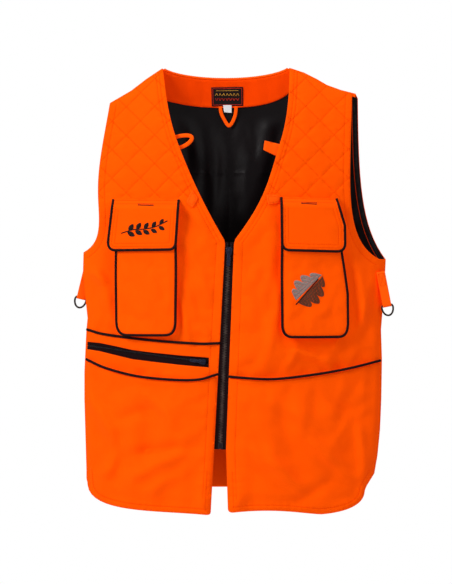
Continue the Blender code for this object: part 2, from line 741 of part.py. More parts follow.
def make_side_strap(side, top, bottom):
    """A folded tape on the side seam, with a D-ring in its lower fold."""
    top, bottom = Vector(top), Vector(bottom)
    down = (bottom - top).normalized()
    wide = down.cross(Vector((0, 1, 0))).normalized()
    out = wide.cross(down).normalized()
    if out.y > 0:
        out = -out
    fold = RING_WIRE + GAP + 0.6
    path = [bottom + fold * (math.cos(a) * out + math.sin(a) * down) for a in np.linspace(0, math.pi, 7)]
    path += [top - 0.8 * out, top + 0.8 * out]
    band(f"{side}_side_strap", path, wide, STRAP_WIDTH, 1.2, "orange_twill")
    half = STRAP_WIDTH / 2 + 2.6
    ring = [bottom + half * wide * k for k in (-1, -0.5, 0, 0.5, 1)]
    ring += [
        bottom + half * math.cos(a) * wide + (4.0 + 13.5 * math.sin(a)) * down for a in np.linspace(0, math.pi, 13)
    ]
    cord(f"{side}_d_ring", ring, RING_WIRE, "dark_metal", closed=True)


def pivot(name, place, pieces):
    """An empty on a joint's axis that carries the pieces which move on it."""
    empty = bpy.data.objects.new(name, None)
    bpy.context.scene.collection.objects.link(empty)
    empty.location = Vector(place) * MM
    for piece in pieces:
        obj = bpy.data.objects[piece]
        obj.parent = empty
        obj.location = -empty.location


def make_pivots():
    """One pivot for each moving body. The front panels turn just outside the side seams."""
    shared = ("front_panel", "front_lining", "lower_pocket", "chest_pocket", "pocket_piping", "chest_tab")
    shared += ("pocket_loop_strip", "zip_tape", "zip_teeth")
    right = ["right_upper_piping", "right_lower_piping", "zip_pocket_bag"]
    right += ["pocket_zip_upper_tape", "pocket_zip_lower_tape"]
    left = ["left_waist_piping", "retainer_box", "left_side_strap"]
    pivot("right_front_pivot", RIGHT_HINGE, right + [f"right_{piece}" for piece in shared])
    pivot("left_front_pivot", LEFT_HINGE, left + [f"left_{piece}" for piece in shared])
    for side, shape in (("right", RIGHT_FLAP), ("left", LEFT_FLAP)):
        seam = (Vector(shape[0]) + Vector(shape[-1])) / 2
        pieces = [f"{side}_flap", f"{side}_flap_piping", f"{side}_flap_hook_strip"]
        pivot(f"{side}_flap_pivot", on_front(seam.x, seam.y, FLAP_PIVOT_OUT), pieces)
        pivot(f"{side}_d_ring_pivot", D_RING_PLACES[side], [f"{side}_d_ring"])
    for name, place in (("zip", zip_point(SLIDER_AT)), ("pocket_zip", pocket_zip_point(POCKET_SLIDER_AT))):
        pivot(f"{name}_slider_pivot", on_front(*place), [f"{name}_slider"])
        pivot(f"{name}_pull_pivot", on_front(*place, PULL_OUT), [f"{name}_pull"])
    pivot("hanger_loop_pivot", (3.5, back((HANGER[0] + HANGER[1]) / 2)(3.5, -66), -66), ["hanger_loop"])


def main():
    clear_scene()
    MATERIALS.update(make_materials())
    make_fronts()
    make_back()
    make_seams()
    make_lower_pockets()
    make_chest_pocket("right", RIGHT_POCKET, RIGHT_FLAP)
    make_chest_pocket("left", LEFT_POCKET, LEFT_FLAP)
    make_upper_piping()
    make_small_loops()
    make_main_zip()
    make_pocket_zip()
    make_side_strap("right", (-236.0, 11.2, -342), D_RING_PLACES["right"])
    make_side_strap("left", (263.5, -11.4, -348), D_RING_PLACES["left"])
    make_pivots()


MATERIALS = {}
main()
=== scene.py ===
"""Blaze orange field vest: the look of it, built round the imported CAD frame.

Cloth is cut flat, as an outline in the XZ plane with a fine mesh of triangles, and then laid on the same lens
surfaces that the CAD uses. Lengths here are millimetres until a mesh is made. Right and left are the
wearer's, so right is at -X, and the front faces -Y.
"""

import math

import bpy
import numpy as np
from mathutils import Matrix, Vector
from mathutils.bvhtree import BVHTree
from mathutils.geometry import delaunay_2d_cdt
from mathutils.kdtree import KDTree


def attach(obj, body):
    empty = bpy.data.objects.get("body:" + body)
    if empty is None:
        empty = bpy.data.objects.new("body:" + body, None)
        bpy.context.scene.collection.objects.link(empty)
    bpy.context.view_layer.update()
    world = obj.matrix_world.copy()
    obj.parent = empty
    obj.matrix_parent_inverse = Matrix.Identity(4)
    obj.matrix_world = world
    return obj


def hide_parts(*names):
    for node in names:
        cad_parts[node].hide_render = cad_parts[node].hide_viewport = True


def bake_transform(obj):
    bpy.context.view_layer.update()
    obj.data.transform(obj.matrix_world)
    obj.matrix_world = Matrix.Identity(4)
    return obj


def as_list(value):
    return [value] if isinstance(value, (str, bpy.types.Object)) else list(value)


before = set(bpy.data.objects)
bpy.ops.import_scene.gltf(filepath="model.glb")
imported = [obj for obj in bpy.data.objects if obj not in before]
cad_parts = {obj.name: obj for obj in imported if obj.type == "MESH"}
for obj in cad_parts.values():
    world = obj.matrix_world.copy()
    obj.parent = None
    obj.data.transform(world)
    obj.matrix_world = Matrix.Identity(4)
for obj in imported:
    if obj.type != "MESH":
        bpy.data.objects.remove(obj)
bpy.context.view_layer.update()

MM = 0.001
SIDES = (("right", -1), ("left", 1))
SQUARE = ((-1, -1), (1, -1), (1, 1), (-1, 1))
SETTLE_FRAMES = 16

# ---------------------------------------------------------------- the CAD's own dimensions, in millimetres

FRONT_DEPTH, BACK_DEPTH, SEAM_DEPTH = 46.0, 38.0, 2.0
SHOULDER_FALL, NECK_HALF, NECK_RISE = 200.0, 109.0, 60.0
ON_SHELL = 1.9
POCKET_TOP, GUSSET_WIDTH = 15.3, 15.5
LOWER_POCKET_TOP = 11.3
MOUTH_DROP = 3.4
FLAP_OUT = 18.2
LABEL_OUT, HANGER_OUT, NECK_LOOP_OUT = -7.2, -7.4, -8.6
PIPING_RADIUS = 2.25
MAIN_ZIP = np.array(((5.6, -301.0), (-10.0, -649.0)))
POCKET_ZIP = np.array(((-31.0, -502.0), (-228.0, -475.0)))
SLIDER_AT, POCKET_SLIDER_AT, PULL_OUT, SLIDER_LOOK = 12.0, 9.0, 2.7, "slider_enamel"
TOOTH_PITCH, COIL_PITCH, TAPE_START = 4.3, 1.5, -3.0
STRAP_WIDTH, RING_WIRE = 14.0, 1.6
SMALL_STITCH = {"length": 2.0, "gap": 0.7, "radius": 0.35}
STRAPS = {
    "right": ((-236.0, 11.2, -342.0), (-248.0, 11.2, -392.0)),
    "left": ((263.5, -11.4, -348.0), (274.5, -11.4, -405.0)),
}

# A tuple of two is a corner. A tuple of six is a Bezier stretch: two handles and its end.
RIGHT_SIDE = [(-243, -315), (-244, -354), (-236, -427), (-238, -447), (-241.4, -518), (-241.4, -566)]
RIGHT_SIDE.append((-238, -685))
LEFT_SIDE = [(272.5, -327), (270.3, -371), (264.4, -447), (266, -498), (264.9, -566), (262.7, -617)]
LEFT_SIDE.append((258.4, -661))
RIGHT_SIDE_END, LEFT_SIDE_END = (-236, -712), (253, -692)
SIDE_LINES = {"right": [*RIGHT_SIDE, RIGHT_SIDE_END], "left": [*LEFT_SIDE, LEFT_SIDE_END]}
RIGHT_SHOULDER = [(-198, -60), (-162, -39), (-136, -19), (-109, -1)]
LEFT_SHOULDER = [(109, 0), (133, -8), (155, -19), (172, -29), (197, -38), (221, -44)]
FRONTS = {
    "right": [
        (-109, -1),
        (-103, -22, -105, -75, -77, -143),
        (-62, -182, -40, -232, -3.4, -294),
        (-2, -301),
        (-26.2, -754),
        (-26.5, -759, -28, -760, -34, -760),
        (-120, -752, -230, -760, *RIGHT_SIDE_END),
        *reversed(RIGHT_SIDE),
        (-205, -296, -219, -250, -218, -205),
        (-218, -160, -204, -100, -198, -60),
        *RIGHT_SHOULDER[1:-1],
    ],
    "left": [
        (109, 0),
        *LEFT_SHOULDER[1:-1],
        (215, -42.5),
        (213, -100, 211, -150, 211, -190),
        (211, -262, 222, -308, 262, -327),
        *LEFT_SIDE,
        LEFT_SIDE_END,
        (243, -708, 237, -715, 236, -724),
        (234, -745, 206, -757, 162, -760),
        (128, -758, 85, -748, 12, -756),
        (6, -756, 3.5, -754, 3.5, -748),
        (0.5, -649),
        (14, -301),
        (16.3, -293),
        (68, -225, 72, -195, 92, -130),
        (107, -84, 108, -40, 109, 0),
    ],
}
BACK = [
    (-109, -1),
    (-75, -24, 75, -24, 109, 0),
    *LEFT_SHOULDER[1:],
    (225, -52),
    (227, -190, 230, -270, 272.5, -327),
    *LEFT_SIDE[1:],
    (252, -690),
    (246, -705, 234, -716, 212, -717),
    (-215, -717),
    (-230, -717, -237, -712, -238, -700),
    *reversed(RIGHT_SIDE),
    (-201, -296, -215, -250, -214, -205),
    (-214, -160, -202, -100, -198, -60),
    *RIGHT_SHOULDER[1:-1],
]
POCKETS = {
    "right": [
        (-86.7, -243),
        (-86.7, -430),
        (-87, -448, -92, -454, -106, -454),
        (-166, -454),
        (-180, -454, -185.3, -446, -185.3, -428),
        (-185.3, -243),
    ],
    "left": [
        (193, -243),
        (195, -318),
        (205, -385),
        (206, -432),
        (206, -450, 202, -457, 188, -457),
        (114, -457),
        (102, -457, 96.4, -450, 96.4, -436),
        (96.4, -243),
    ],
}
FLAPS = {
    "right": [
        (-82, -226),
        (-86.5, -296),
        (-87, -305, -90, -309, -98, -309),
        (-187, -310),
        (-196, -310, -199, -305, -198.5, -296),
        (-190, -225),
    ],
    "left": [
        (186, -224),
        (200, -270),
        (200.4, -300),
        (200.4, -308, 196, -312, 188, -312),
        (108, -310),
        (100, -310, 96.6, -305, 96.6, -298),
        (95.6, -222),
    ],
}
WAIST = {
    "right_upper": [(-236, -447), (-204, -455), (-126, -464.5), (-48, -470), (-15, -469.5)],
    "right_lower": [(-237, -498), (-204, -512), (-153, -525), (-95, -531), (-48, -531), (-18, -523)],
    "left": [(7.5, -526), (30, -528), (81, -530), (147, -523), (206, -513), (261, -500)],
}
SLOT_TOP = [(-28.5, -493.5), (-80, -489.5), (-124, -485), (-160, -480.5), (-192, -473.5), (-215, -469)]
SLOT_FOOT = [(-215, -484), (-192, -489.5), (-160, -497), (-124, -501.5), (-80, -506.5), (-28.5, -511)]
POCKET_SLOT = [*SLOT_TOP, (-236.6, -467), (-237.4, -480.5), *SLOT_FOOT]

# ---------------------------------------------------------------- flat shapes


def trace(outline, closed=True, step=3.0):
    """The points of an outline, evenly close together, with its corners kept."""
    corners = [np.array(outline[0], float)]
    for part in outline[1:]:
        if len(part) == 2:
            corners.append(np.array(part, float))
            continue
        a, b, end = (np.array(part[k : k + 2], float) for k in (0, 2, 4))
        start = corners[-1]
        for t in np.linspace(0, 1, 17)[1:]:
            u = 1 - t
            corners.append(u**3 * start + 3 * u * u * t * a + 3 * u * t * t * b + t**3 * end)
    if closed and np.linalg.norm(corners[0] - corners[-1]) < 1e-3:
        corners.pop()
    return spaced(corners, step, closed)


def spaced(points, step, closed=False):
    """A run of points with more between them, so that none are further apart than a step."""
    points = [np.array(p, float) for p in points]
    found = []
    for a, b in zip(points, points[1:] + points[:1] if closed else points[1:]):
        pieces = max(1, math.ceil(np.linalg.norm(b - a) / step))
        found += [a + (b - a) * k / pieces for k in range(pieces)]
    return np.array(found if closed else [*found, points[-1]])


def smooth_run(points, step=3.0):
    """A smooth curve through a few points, read at an even spacing."""
    points = [np.array(p, float) for p in points]
    ends = [2 * points[0] - points[1], *points, 2 * points[-1] - points[-2]]
    fine = []
    for a, b, c, d in zip(ends, ends[1:], ends[2:], ends[3:]):
        for t in np.arange(12) / 12:
            bend = (2 * a - 5 * b + 4 * c - d) * t**2 + (3 * b - a - 3 * c + d) * t**3
            fine.append(0.5 * (2 * b + (c - a) * t + bend))
    return even(np.array([*fine, points[-1]]), step)


def even(run, step):
    """A run read again at an even spacing along its length."""
    run = np.asarray(run, float)
    along = np.concatenate([[0], np.cumsum(np.linalg.norm(np.diff(run, axis=0), axis=1))])
    places = np.linspace(0, along[-1], max(2, round(along[-1] / step) + 1))
    return np.stack([np.interp(places, along, column) for column in run.T], axis=1)


def shifted(run, away):
    """A run of flat points moved sideways, to the left of the way it goes."""
    along = np.gradient(run, axis=0)
    along /= np.maximum(np.linalg.norm(along, axis=1, keepdims=True), 1e-9)
    return run + away * np.stack([-along[:, 1], along[:, 0]], axis=1)


def between(run, low, high):
    """The part of a run whose heights lie between two."""
    return run[(run[:, 1] > low) & (run[:, 1] < high)]


def inside(points, loop):
    """Which points lie within a closed outline."""
    x, z = points[:, :1], points[:, 1:]
    x0, z0 = loop.T
    x1, z1 = np.roll(loop, -1, axis=0).T
    rise = np.where(z1 == z0, 1e-9, z1 - z0)
    crossed = ((z0 > z) != (z1 > z)) & (x < (x1 - x0) * (z - z0) / rise + x0)
    return crossed.sum(axis=1) % 2 == 1


def nearest(points, run):
    """For each point, how far the nearest point of a run is, and which one it is."""
    tree = KDTree(len(run))
    for number, place in enumerate(run):
        tree.insert((*place, 0.0), number)
    tree.balance()
    found = [tree.find((*point, 0.0)) for point in points]
    return np.array([f[2] for f in found]), np.array([f[1] for f in found])


def fill(outline, step, lines=(), holes=()):
    """A flat mesh over an outline, with extra points along sewn lines: its points and triangles."""
    loops = [outline, *holes]
    low, high = outline.min(axis=0), outline.max(axis=0)
    rows = np.arange(low[1] + step / 2, high[1], step * 0.866)
    columns = np.arange(low[0], high[0], step)
    grid = np.array([(x + (k % 2) * step / 2, z) for k, z in enumerate(rows) for x in columns])
    if len(lines):
        ways = (-3, -1.3, 0, 1.3, 3)
        beside = np.concatenate([even(shifted(line, away), 2.8) for line in lines for away in ways])
        cells = np.unique(np.round(beside / 1.2), axis=0, return_index=True)[1]
        beside = beside[np.sort(cells)]
        grid = grid[nearest(grid, beside)[0] > step * 0.55]
        points = np.concatenate([grid, beside])
    else:
        points = grid
    edges = np.concatenate(loops)
    points = points[nearest(points, edges)[0] > min(step * 0.5, 1.4)]
    points = points[inside(points, outline)]
    for hole in holes:
        points = points[~inside(points, hole)]
    start, rims = 0, []
    for loop in loops:
        count = len(loop)
        rims += [(start + k, start + (k + 1) % count) for k in range(count)]
        start += count
    made = delaunay_2d_cdt([Vector(p) for p in np.concatenate([edges, points])], rims, [], 0, 1e-4)
    flat = np.array([tuple(v) for v in made[0]])
    triangles = np.array([f for f in made[2] if len(f) == 3])
    middle = flat[triangles].mean(axis=1)
    kept = inside(middle, outline)
    for hole in holes:
        kept &= ~inside(middle, hole)
    triangles = triangles[kept]
    used, renumbered = np.unique(triangles, return_inverse=True)
    return flat[used], renumbered.reshape(-1, 3)


def inset_run(run, outline, away):
    """A run along an edge, moved a distance into the outline."""
    moved = shifted(run, away)
    if inside(moved, outline).mean() < 0.5:
        moved = shifted(run, -away)
    return moved[inside(moved, outline)]


def area_of(outline):
    x, z = outline.T
    return abs(np.dot(x, np.roll(z, -1)) - np.dot(z, np.roll(x, -1))) / 2


def ease(t):
    t = np.clip(t, 0, 1)
    return t * t * (3 - 2 * t)


# ---------------------------------------------------------------- the lens that the cloth follows


def interp(at, pairs):
    return np.interp(at, *zip(*pairs))


def shoulder_height(x):
    neck = NECK_RISE * (1 - (x / NECK_HALF) ** 2)
    line = interp(x, [(-285, -105), *RIGHT_SHOULDER, *LEFT_SHOULDER, (285, -64)])
    return np.where(abs(x) < NECK_HALF, neck, line)


def depth(x, z, full):
    """How far the lens stands from the XZ plane: nothing much at the seams, and most in the middle."""
    right, left = (np.interp(-z, [-p[1] for p in line], [p[0] for p in line]) for line in SIDE_LINES.values())
    across = (2 * x - left - right) / (left - right)
    fallen = np.clip((shoulder_height(x) - z) / SHOULDER_FALL, 0, 1)
    return SEAM_DEPTH + full * np.maximum(0, 1 - across**2) * (1 - (1 - fallen) ** 2.2)


SEAMS = [*SIDE_LINES.values(), RIGHT_SHOULDER, LEFT_SHOULDER]
SEAM_LINES = np.concatenate([spaced(line, 2) for line in SEAMS])


def on_lens(side, flat, out):
    """Points at a distance out of the lens, one or one each: side is -1 for the front and 1 for the back."""
    x, z = flat.T
    stands = depth(x, z, FRONT_DEPTH if side < 0 else BACK_DEPTH)
    closing = 0.25 + 0.75 * ease(nearest(flat, SEAM_LINES)[0] / 9)
    out = np.where(out < 0, out * np.minimum(1, (stands - 0.35) / 7.6), out)
    return np.stack([x, side * (stands + out) * closing, z], axis=1)


def spot(x, z, out=0.0, side=-1):
    """One point on the lens."""
    return on_lens(side, np.array([(x, z)], float), out)[0]


# ---------------------------------------------------------------- noise and folds, in millimetres


def noise(flat, scale, seed, stretch=(1.0, 1.0)):
    """Smooth waves with no direction, from -1 to 1 or so: the same for every run with one seed."""
    rng = np.random.default_rng(seed)
    total = np.zeros(len(flat))
    for _ in range(9):
        angle, phase = rng.uniform(0, 2 * math.pi, 2)
        length = scale * rng.uniform(0.6, 1.7)
        way = np.array((math.cos(angle) * stretch[0], math.sin(angle) * stretch[1]))
        total += np.sin(2 * math.pi * (flat @ way) / length + phase)
    return total / 3


def folds(flat, shapes):
    """Soft ridges (or hollows, with a negative height). Each shape is start, end, width and height."""
    total = np.zeros(len(flat))
    for start, end, width, height in shapes:
        start, end = np.array(start, float), np.array(end, float)
        along = end - start
        length = np.linalg.norm(along)
        along /= length
        rest = flat - start
        share = rest @ along / length
        across = rest @ np.array((-along[1], along[0])) - width * 0.5 * np.sin(math.pi * np.clip(share, 0, 1))
        ends = ease(1.6 * share + 0.3) * ease(1.6 * (1 - share) + 0.3)
        total += 1.9 * height * np.exp(-((across / width) ** 2)) * ends
    return total


def sewn(flat, lines, drop=0.5, width=1.5, pucker=0.35, reach=9.0, length=11.0, seed=1):
    """A groove along sewn lines, with small puckers beside it."""
    total = np.zeros(len(flat))
    for number, line in enumerate(lines):
        fine = even(line, 1.0)
        away, index = nearest(flat, fine)
        wave = np.sin(2 * math.pi * index / length + 1.7 * np.sin(index / 23.0 + seed + number) + number)
        total -= drop * np.exp(-((away / width) ** 2))
        total += pucker * wave * np.exp(-away / reach) * (1 - np.exp(-((away / 2) ** 2)))
    return total


# ---------------------------------------------------------------- materials


class Look:
    """A procedural material, with the few nodes that its functions share."""

    def __init__(self, name, colour, roughness, metallic=0.0, on_cloth=True, **sockets):
        self.on_cloth = on_cloth
        self.material = bpy.data.materials.new(name)
        self.material.use_nodes = True
        self.nodes = self.material.node_tree.nodes
        self.shader = self.nodes["Principled BSDF"]
        self.colour = colour
        self.set(self.shader, Metallic=metallic, Roughness=roughness, **sockets)
        self.set(self.shader, **{"Base Color": (*colour, 1)})
        self.heights = []

    def set(self, node, **values):
        for key, value in values.items():
            node.inputs[key.replace("_", " ")].default_value = value

    def join(self, source, target):
        self.material.node_tree.links.new(source, target)

    def node(self, kind, **values):
        made = self.nodes.new(f"ShaderNode{kind}")
        for key, value in values.items():
            setattr(made, key, value)
        return made

    def place(self, turn=0.0):
        """Coordinates in metres, turned by an angle: on the cloth as it was cut, or else the object's own."""
        if self.on_cloth:
            source = self.node("UVMap", uv_map="cut").outputs[0]
        else:
            source = self.node("TexCoord").outputs["Object"]
        mapping = self.node("Mapping")
        mapping.inputs["Rotation"].default_value[2] = turn
        self.join(source, mapping.inputs["Vector"])
        return mapping.outputs[0]

    def ribs(self, pitch, turn=0.0, height=1.0, wander=0.0):
        """Even ridges, a pitch apart in metres."""
        wave = self.node("TexWave", wave_type="BANDS", bands_direction="X")
        self.set(wave, Scale=2 * math.pi / 20 / pitch, Distortion=wander, Detail=1.0)
        self.join(self.place(turn), wave.inputs["Vector"])
        self.heights.append((wave.outputs["Fac"], height))
        return wave.outputs["Fac"]

    def grain(self, size, height=1.0, detail=3.0):
        """Uneven grain of about this size in metres."""
        found = self.node("TexNoise")
        self.set(found, Scale=1 / size, Detail=detail)
        self.join(self.place(), found.inputs["Vector"])
        if height:
            self.heights.append((found.outputs["Fac"], height))
        return found.outputs["Fac"]

    def tint(self, factor, low, high, start=0.35, end=0.65):
        """Multiplies the colour so far by low where the factor is start, and by high where it is end."""
        spread = self.node("MapRange")
        for key, value in zip(("From Min", "From Max", "To Min", "To Max"), (start, end, low, high)):
            spread.inputs[key].default_value = value
        self.join(factor, spread.inputs["Value"])
        mixed = self.node("VectorMath", operation="SCALE")
        base = self.shader.inputs["Base Color"]
        if base.is_linked:
            self.join(base.links[0].from_socket, mixed.inputs[0])
        else:
            mixed.inputs[0].default_value = self.colour
        self.join(spread.outputs[0], mixed.inputs["Scale"])
        self.join(mixed.outputs[0], base)

    def finish(self, distance, strength=0.5):
        """Adds up the heights so far as a bump."""
        total = None
        for socket, height in self.heights:
            scaled = self.node("Math", operation="MULTIPLY")
            scaled.inputs[1].default_value = height
            self.join(socket, scaled.inputs[0])
            if total is not None:
                added = self.node("Math", operation="ADD")
                self.join(total, added.inputs[0])
                self.join(scaled.outputs[0], added.inputs[1])
                scaled = added
            total = scaled.outputs[0]
        bump = self.node("Bump")
        self.set(bump, Strength=strength, Distance=distance)
        self.join(total, bump.inputs["Height"])
        self.join(bump.outputs[0], self.shader.inputs["Normal"])
        return self.material


def make_looks():
    """Every material, by name."""
    found = {}
    warm = (1.0, 0.25, 0.02, 1)
    # glow makes the orange cloth give off a little red light of its own: painted light, which keeps its
    # shaded parts red.
    glow = {"Emission_Color": (1.0, 0.02, 0.0, 1), "Emission_Strength": 0.2}
    sheen = {"Sheen_Weight": 0.1, "Sheen_Tint": warm}
    twill = {"Specular_IOR_Level": 0.2, "Specular_Tint": warm, **sheen, **glow}
    for name, colour, pitch, roughness, on_cloth in (
        ("orange_twill", (1.0, 0.100, 0.0003), 0.0011, 0.82, True),
        ("orange_seam", (1.0, 0.098, 0.0003), 0.0011, 0.82, False),
        ("orange_tape", (1.0, 0.112, 0.003), 0.0016, 0.8, True),
        # The facing orange is darker: painted shade for the inside of the neck, which lies in shadow.
        ("orange_facing_painted_shade", (0.86, 0.058, 0.0003), 0.0011, 0.82, True),
    ):
        look = Look(name, colour, roughness, on_cloth=on_cloth, **twill)
        rib = look.ribs(pitch, math.radians(45), 1.0, 0.6)
        look.ribs(pitch * 0.55, math.radians(-40), 0.35)
        look.tint(rib, 0.93, 1.03, 0.0, 1.0)
        look.tint(look.grain(0.035, 0.0), 0.965, 1.03)
        look.tint(look.grain(0.0009, 0.5), 0.96, 1.03)
        found[name] = look.finish(0.00022, 0.45)
    thread = Look("orange_thread", (0.85, 0.045, 0.0), 0.7, Specular_IOR_Level=0.1, Specular_Tint=warm)
    thread.tint(thread.ribs(0.0009, 0.6, 1.0), 0.85, 1.05, 0.0, 1.0)
    found["orange_thread"] = thread.finish(0.00008)
    for name, on_cloth in (("black_lining", True), ("black_bag", False)):
        lining = Look(name, (0.0046, 0.0028, 0.0034), 0.45, on_cloth=on_cloth, Specular_IOR_Level=0.14)
        lining.ribs(0.0007, 0.0, 0.6)
        lining.ribs(0.0007, math.pi / 2, 0.6)
        lining.tint(lining.grain(0.05, 0.0), 0.9, 1.15)
        lining.grain(0.0012, 0.5)
        found[name] = lining.finish(0.0001, 0.4)
    trim = Look("dark_piping", (0.011, 0.0035, 0.0035), 0.8, Specular_IOR_Level=0.12)
    trim.tint(trim.ribs(0.0013, 0.7, 1.0), 0.7, 1.3, 0.0, 1.0)
    trim.grain(0.0007, 0.5)
    found["dark_piping"] = trim.finish(0.00016)
    tape = Look("zip_tape", (0.012, 0.004, 0.0046), 0.8, Specular_IOR_Level=0.06)
    tape.tint(tape.ribs(0.0009, 0.9, 1.0), 0.75, 1.25, 0.0, 1.0)
    tape.ribs(0.0018, -0.6, 0.6)
    found["zip_tape"] = tape.finish(0.00015)
    plastic = Look("zip_plastic", (0.012, 0.006, 0.009), 0.35, on_cloth=False, Specular_IOR_Level=0.3)
    plastic.tint(plastic.grain(0.004, 0.4), 0.85, 1.3)
    found["zip_plastic"] = plastic.finish(0.00003)
    # The teeth are a lighter brown than the tape: partly their own colour, and partly a painted highlight for
    # the glints on their tops.
    teeth = Look("zip_teeth", (0.045, 0.030, 0.025), 0.3, on_cloth=False, Specular_IOR_Level=0.5)
    teeth.tint(teeth.grain(0.009, 0.2), 0.5, 1.7)
    found["zip_teeth"] = teeth.finish(0.00003)
    enamel = Look("slider_enamel", (0.012, 0.016, 0.040), 0.35, 0.3, on_cloth=False, Specular_IOR_Level=0.4)
    enamel.tint(enamel.grain(0.0035, 0.6), 0.7, 1.35)
    found["slider_enamel"] = enamel.finish(0.00004)
    metal = Look("dark_metal", (0.024, 0.013, 0.009), 0.45, 0.6, on_cloth=False, Specular_IOR_Level=0.4)
    metal.tint(metal.grain(0.003, 0.7, 5.0), 0.45, 1.5)
    found["dark_metal"] = metal.finish(0.00004)
    label = Look("label", (0.012, 0.006, 0.006), 0.6, Specular_IOR_Level=0.1)
    label.tint(label.ribs(0.0006, 0.0, 1.0), 0.75, 1.2, 0.0, 1.0)
    label.ribs(0.0006, math.pi / 2, 0.7)
    found["label"] = label.finish(0.0001)
    tag = Look("white_tag", (0.78, 0.78, 0.8), 0.6)
    tag.ribs(0.0005, 0.0, 1.0)
    tag.tint(tag.grain(0.006, 0.3), 0.95, 1.02)
    found["white_tag"] = tag.finish(0.00008)
    fastener = Look("hook_and_loop", (0.02, 0.012, 0.012), 0.9, on_cloth=False, Sheen_Weight=0.1)
    fastener.grain(0.0011, 1.0, 5.0)
    fastener.tint(fastener.grain(0.0016, 0.4), 0.6, 1.4)
    found["hook_and_loop"] = fastener.finish(0.0005, 0.8)
    padding = Look("wadding", (0.8, 0.8, 0.78), 0.95)
    padding.grain(0.002, 1.0, 6.0)
    padding.tint(padding.grain(0.01, 0.5), 0.88, 1.0)
    found["wadding"] = padding.finish(0.0006, 0.8)
    threads = {
        "dark_thread": (0.012, 0.006, 0.006),
        "brown_thread": (0.16, 0.045, 0.02),
        "grey_thread": (0.33, 0.24, 0.22),
        "red_thread": (0.70, 0.03, 0.015),
        "gold_thread": (0.85, 0.42, 0.05),
    }
    for name, colour in threads.items():
        look = Look(name, colour, 0.5, on_cloth=False, Specular_IOR_Level=0.12)
        look.tint(look.grain(0.0012), 0.8, 1.2)
        found[name] = look.finish(0.0001)
    return found


# ---------------------------------------------------------------- meshes

LOOKS = make_looks()
SURFACES = {}


def add(name, points, faces, look, cut=None):
    """A smooth mesh from points in millimetres. cut holds each point's place on the flat cloth."""
    mesh = bpy.data.meshes.new(name)
    mesh.from_pydata((np.asarray(points) * MM).tolist(), [], [list(f) for f in faces])
    mesh.materials.append(LOOKS[look])
    mesh.polygons.foreach_set("use_smooth", np.ones(len(mesh.polygons), bool))
    if cut is not None:
        corners = np.zeros(len(mesh.loops), int)
        mesh.loops.foreach_get("vertex_index", corners)
        layer = mesh.uv_layers.new(name="cut")
        layer.data.foreach_set("uv", (np.asarray(cut)[corners] * MM).astype(np.float32).ravel())
    mesh.validate()
    obj = bpy.data.objects.new(name, mesh)
    bpy.context.scene.collection.objects.link(obj)
    return obj


def corner_normals(points, triangles):
    a, b, c = (points[triangles[:, k]] for k in range(3))
    facing = np.cross(b - a, c - a)
    total = np.zeros_like(points)
    for k in range(3):
        np.add.at(total, triangles[:, k], facing)
    return total / np.maximum(np.linalg.norm(total, axis=1, keepdims=True), 1e-9)


def wrap(name, flat, triangles, middle, thickness, look="orange_twill", outward=None):
    """Gives cloth its thickness and a rolled edge, and remembers its outer face for what is sewn on it."""
    normal = corner_normals(middle, triangles)
    if outward is not None and (normal @ np.array(outward)).sum() < 0:
        triangles = triangles[:, ::-1]
        normal = -normal
    outer, inner = middle + normal * thickness / 2, middle - normal * thickness / 2
    SURFACES[name] = BVHTree.FromPolygons([Vector(p) for p in outer], triangles.tolist())
    ends = np.concatenate([triangles[:, [0, 1]], triangles[:, [1, 2]], triangles[:, [2, 0]]])
    key = np.sort(ends, axis=1)
    _, index, uses = np.unique(key, axis=0, return_inverse=True, return_counts=True)
    rim = ends[uses[index.ravel()] == 1]
    away = np.zeros_like(middle)
    sideways = np.cross(middle[rim[:, 1]] - middle[rim[:, 0]], normal[rim[:, 0]])
    sideways /= np.maximum(np.linalg.norm(sideways, axis=1, keepdims=True), 1e-9)
    for k in range(2):
        np.add.at(away, rim[:, k], sideways)
    away /= np.maximum(np.linalg.norm(away, axis=1, keepdims=True), 1e-9)
    around = np.unique(rim)
    number = np.full(len(middle), -1)
    count = len(middle)
    number[around] = 2 * count + np.arange(len(around))
    edge = middle[around] + away[around] * thickness * 0.4
    a, b = rim.T
    faces = [*triangles.tolist(), *(triangles[:, ::-1] + count).tolist()]
    faces += np.stack([b, a, number[a], number[b]], axis=1).tolist()
    faces += np.stack([number[b], number[a], a + count, b + count], axis=1).tolist()
    cut = np.concatenate([flat, flat, flat[around]])
    return add(name, np.concatenate([outer, inner, edge]), faces, look, cut)


def cloth(name, outline, side, out, thickness=1.2, step=4.5, lines=(), holes=(), look="orange_twill"):
    """Cloth on the front or the back. out is its distance from the lens, or gives that from flat points."""
    flat, triangles = fill(outline, step, lines, holes)
    middle = on_lens(side, flat, out(flat) if callable(out) else out)
    return wrap(name, flat, triangles, middle, thickness, look, (0, side, 0))


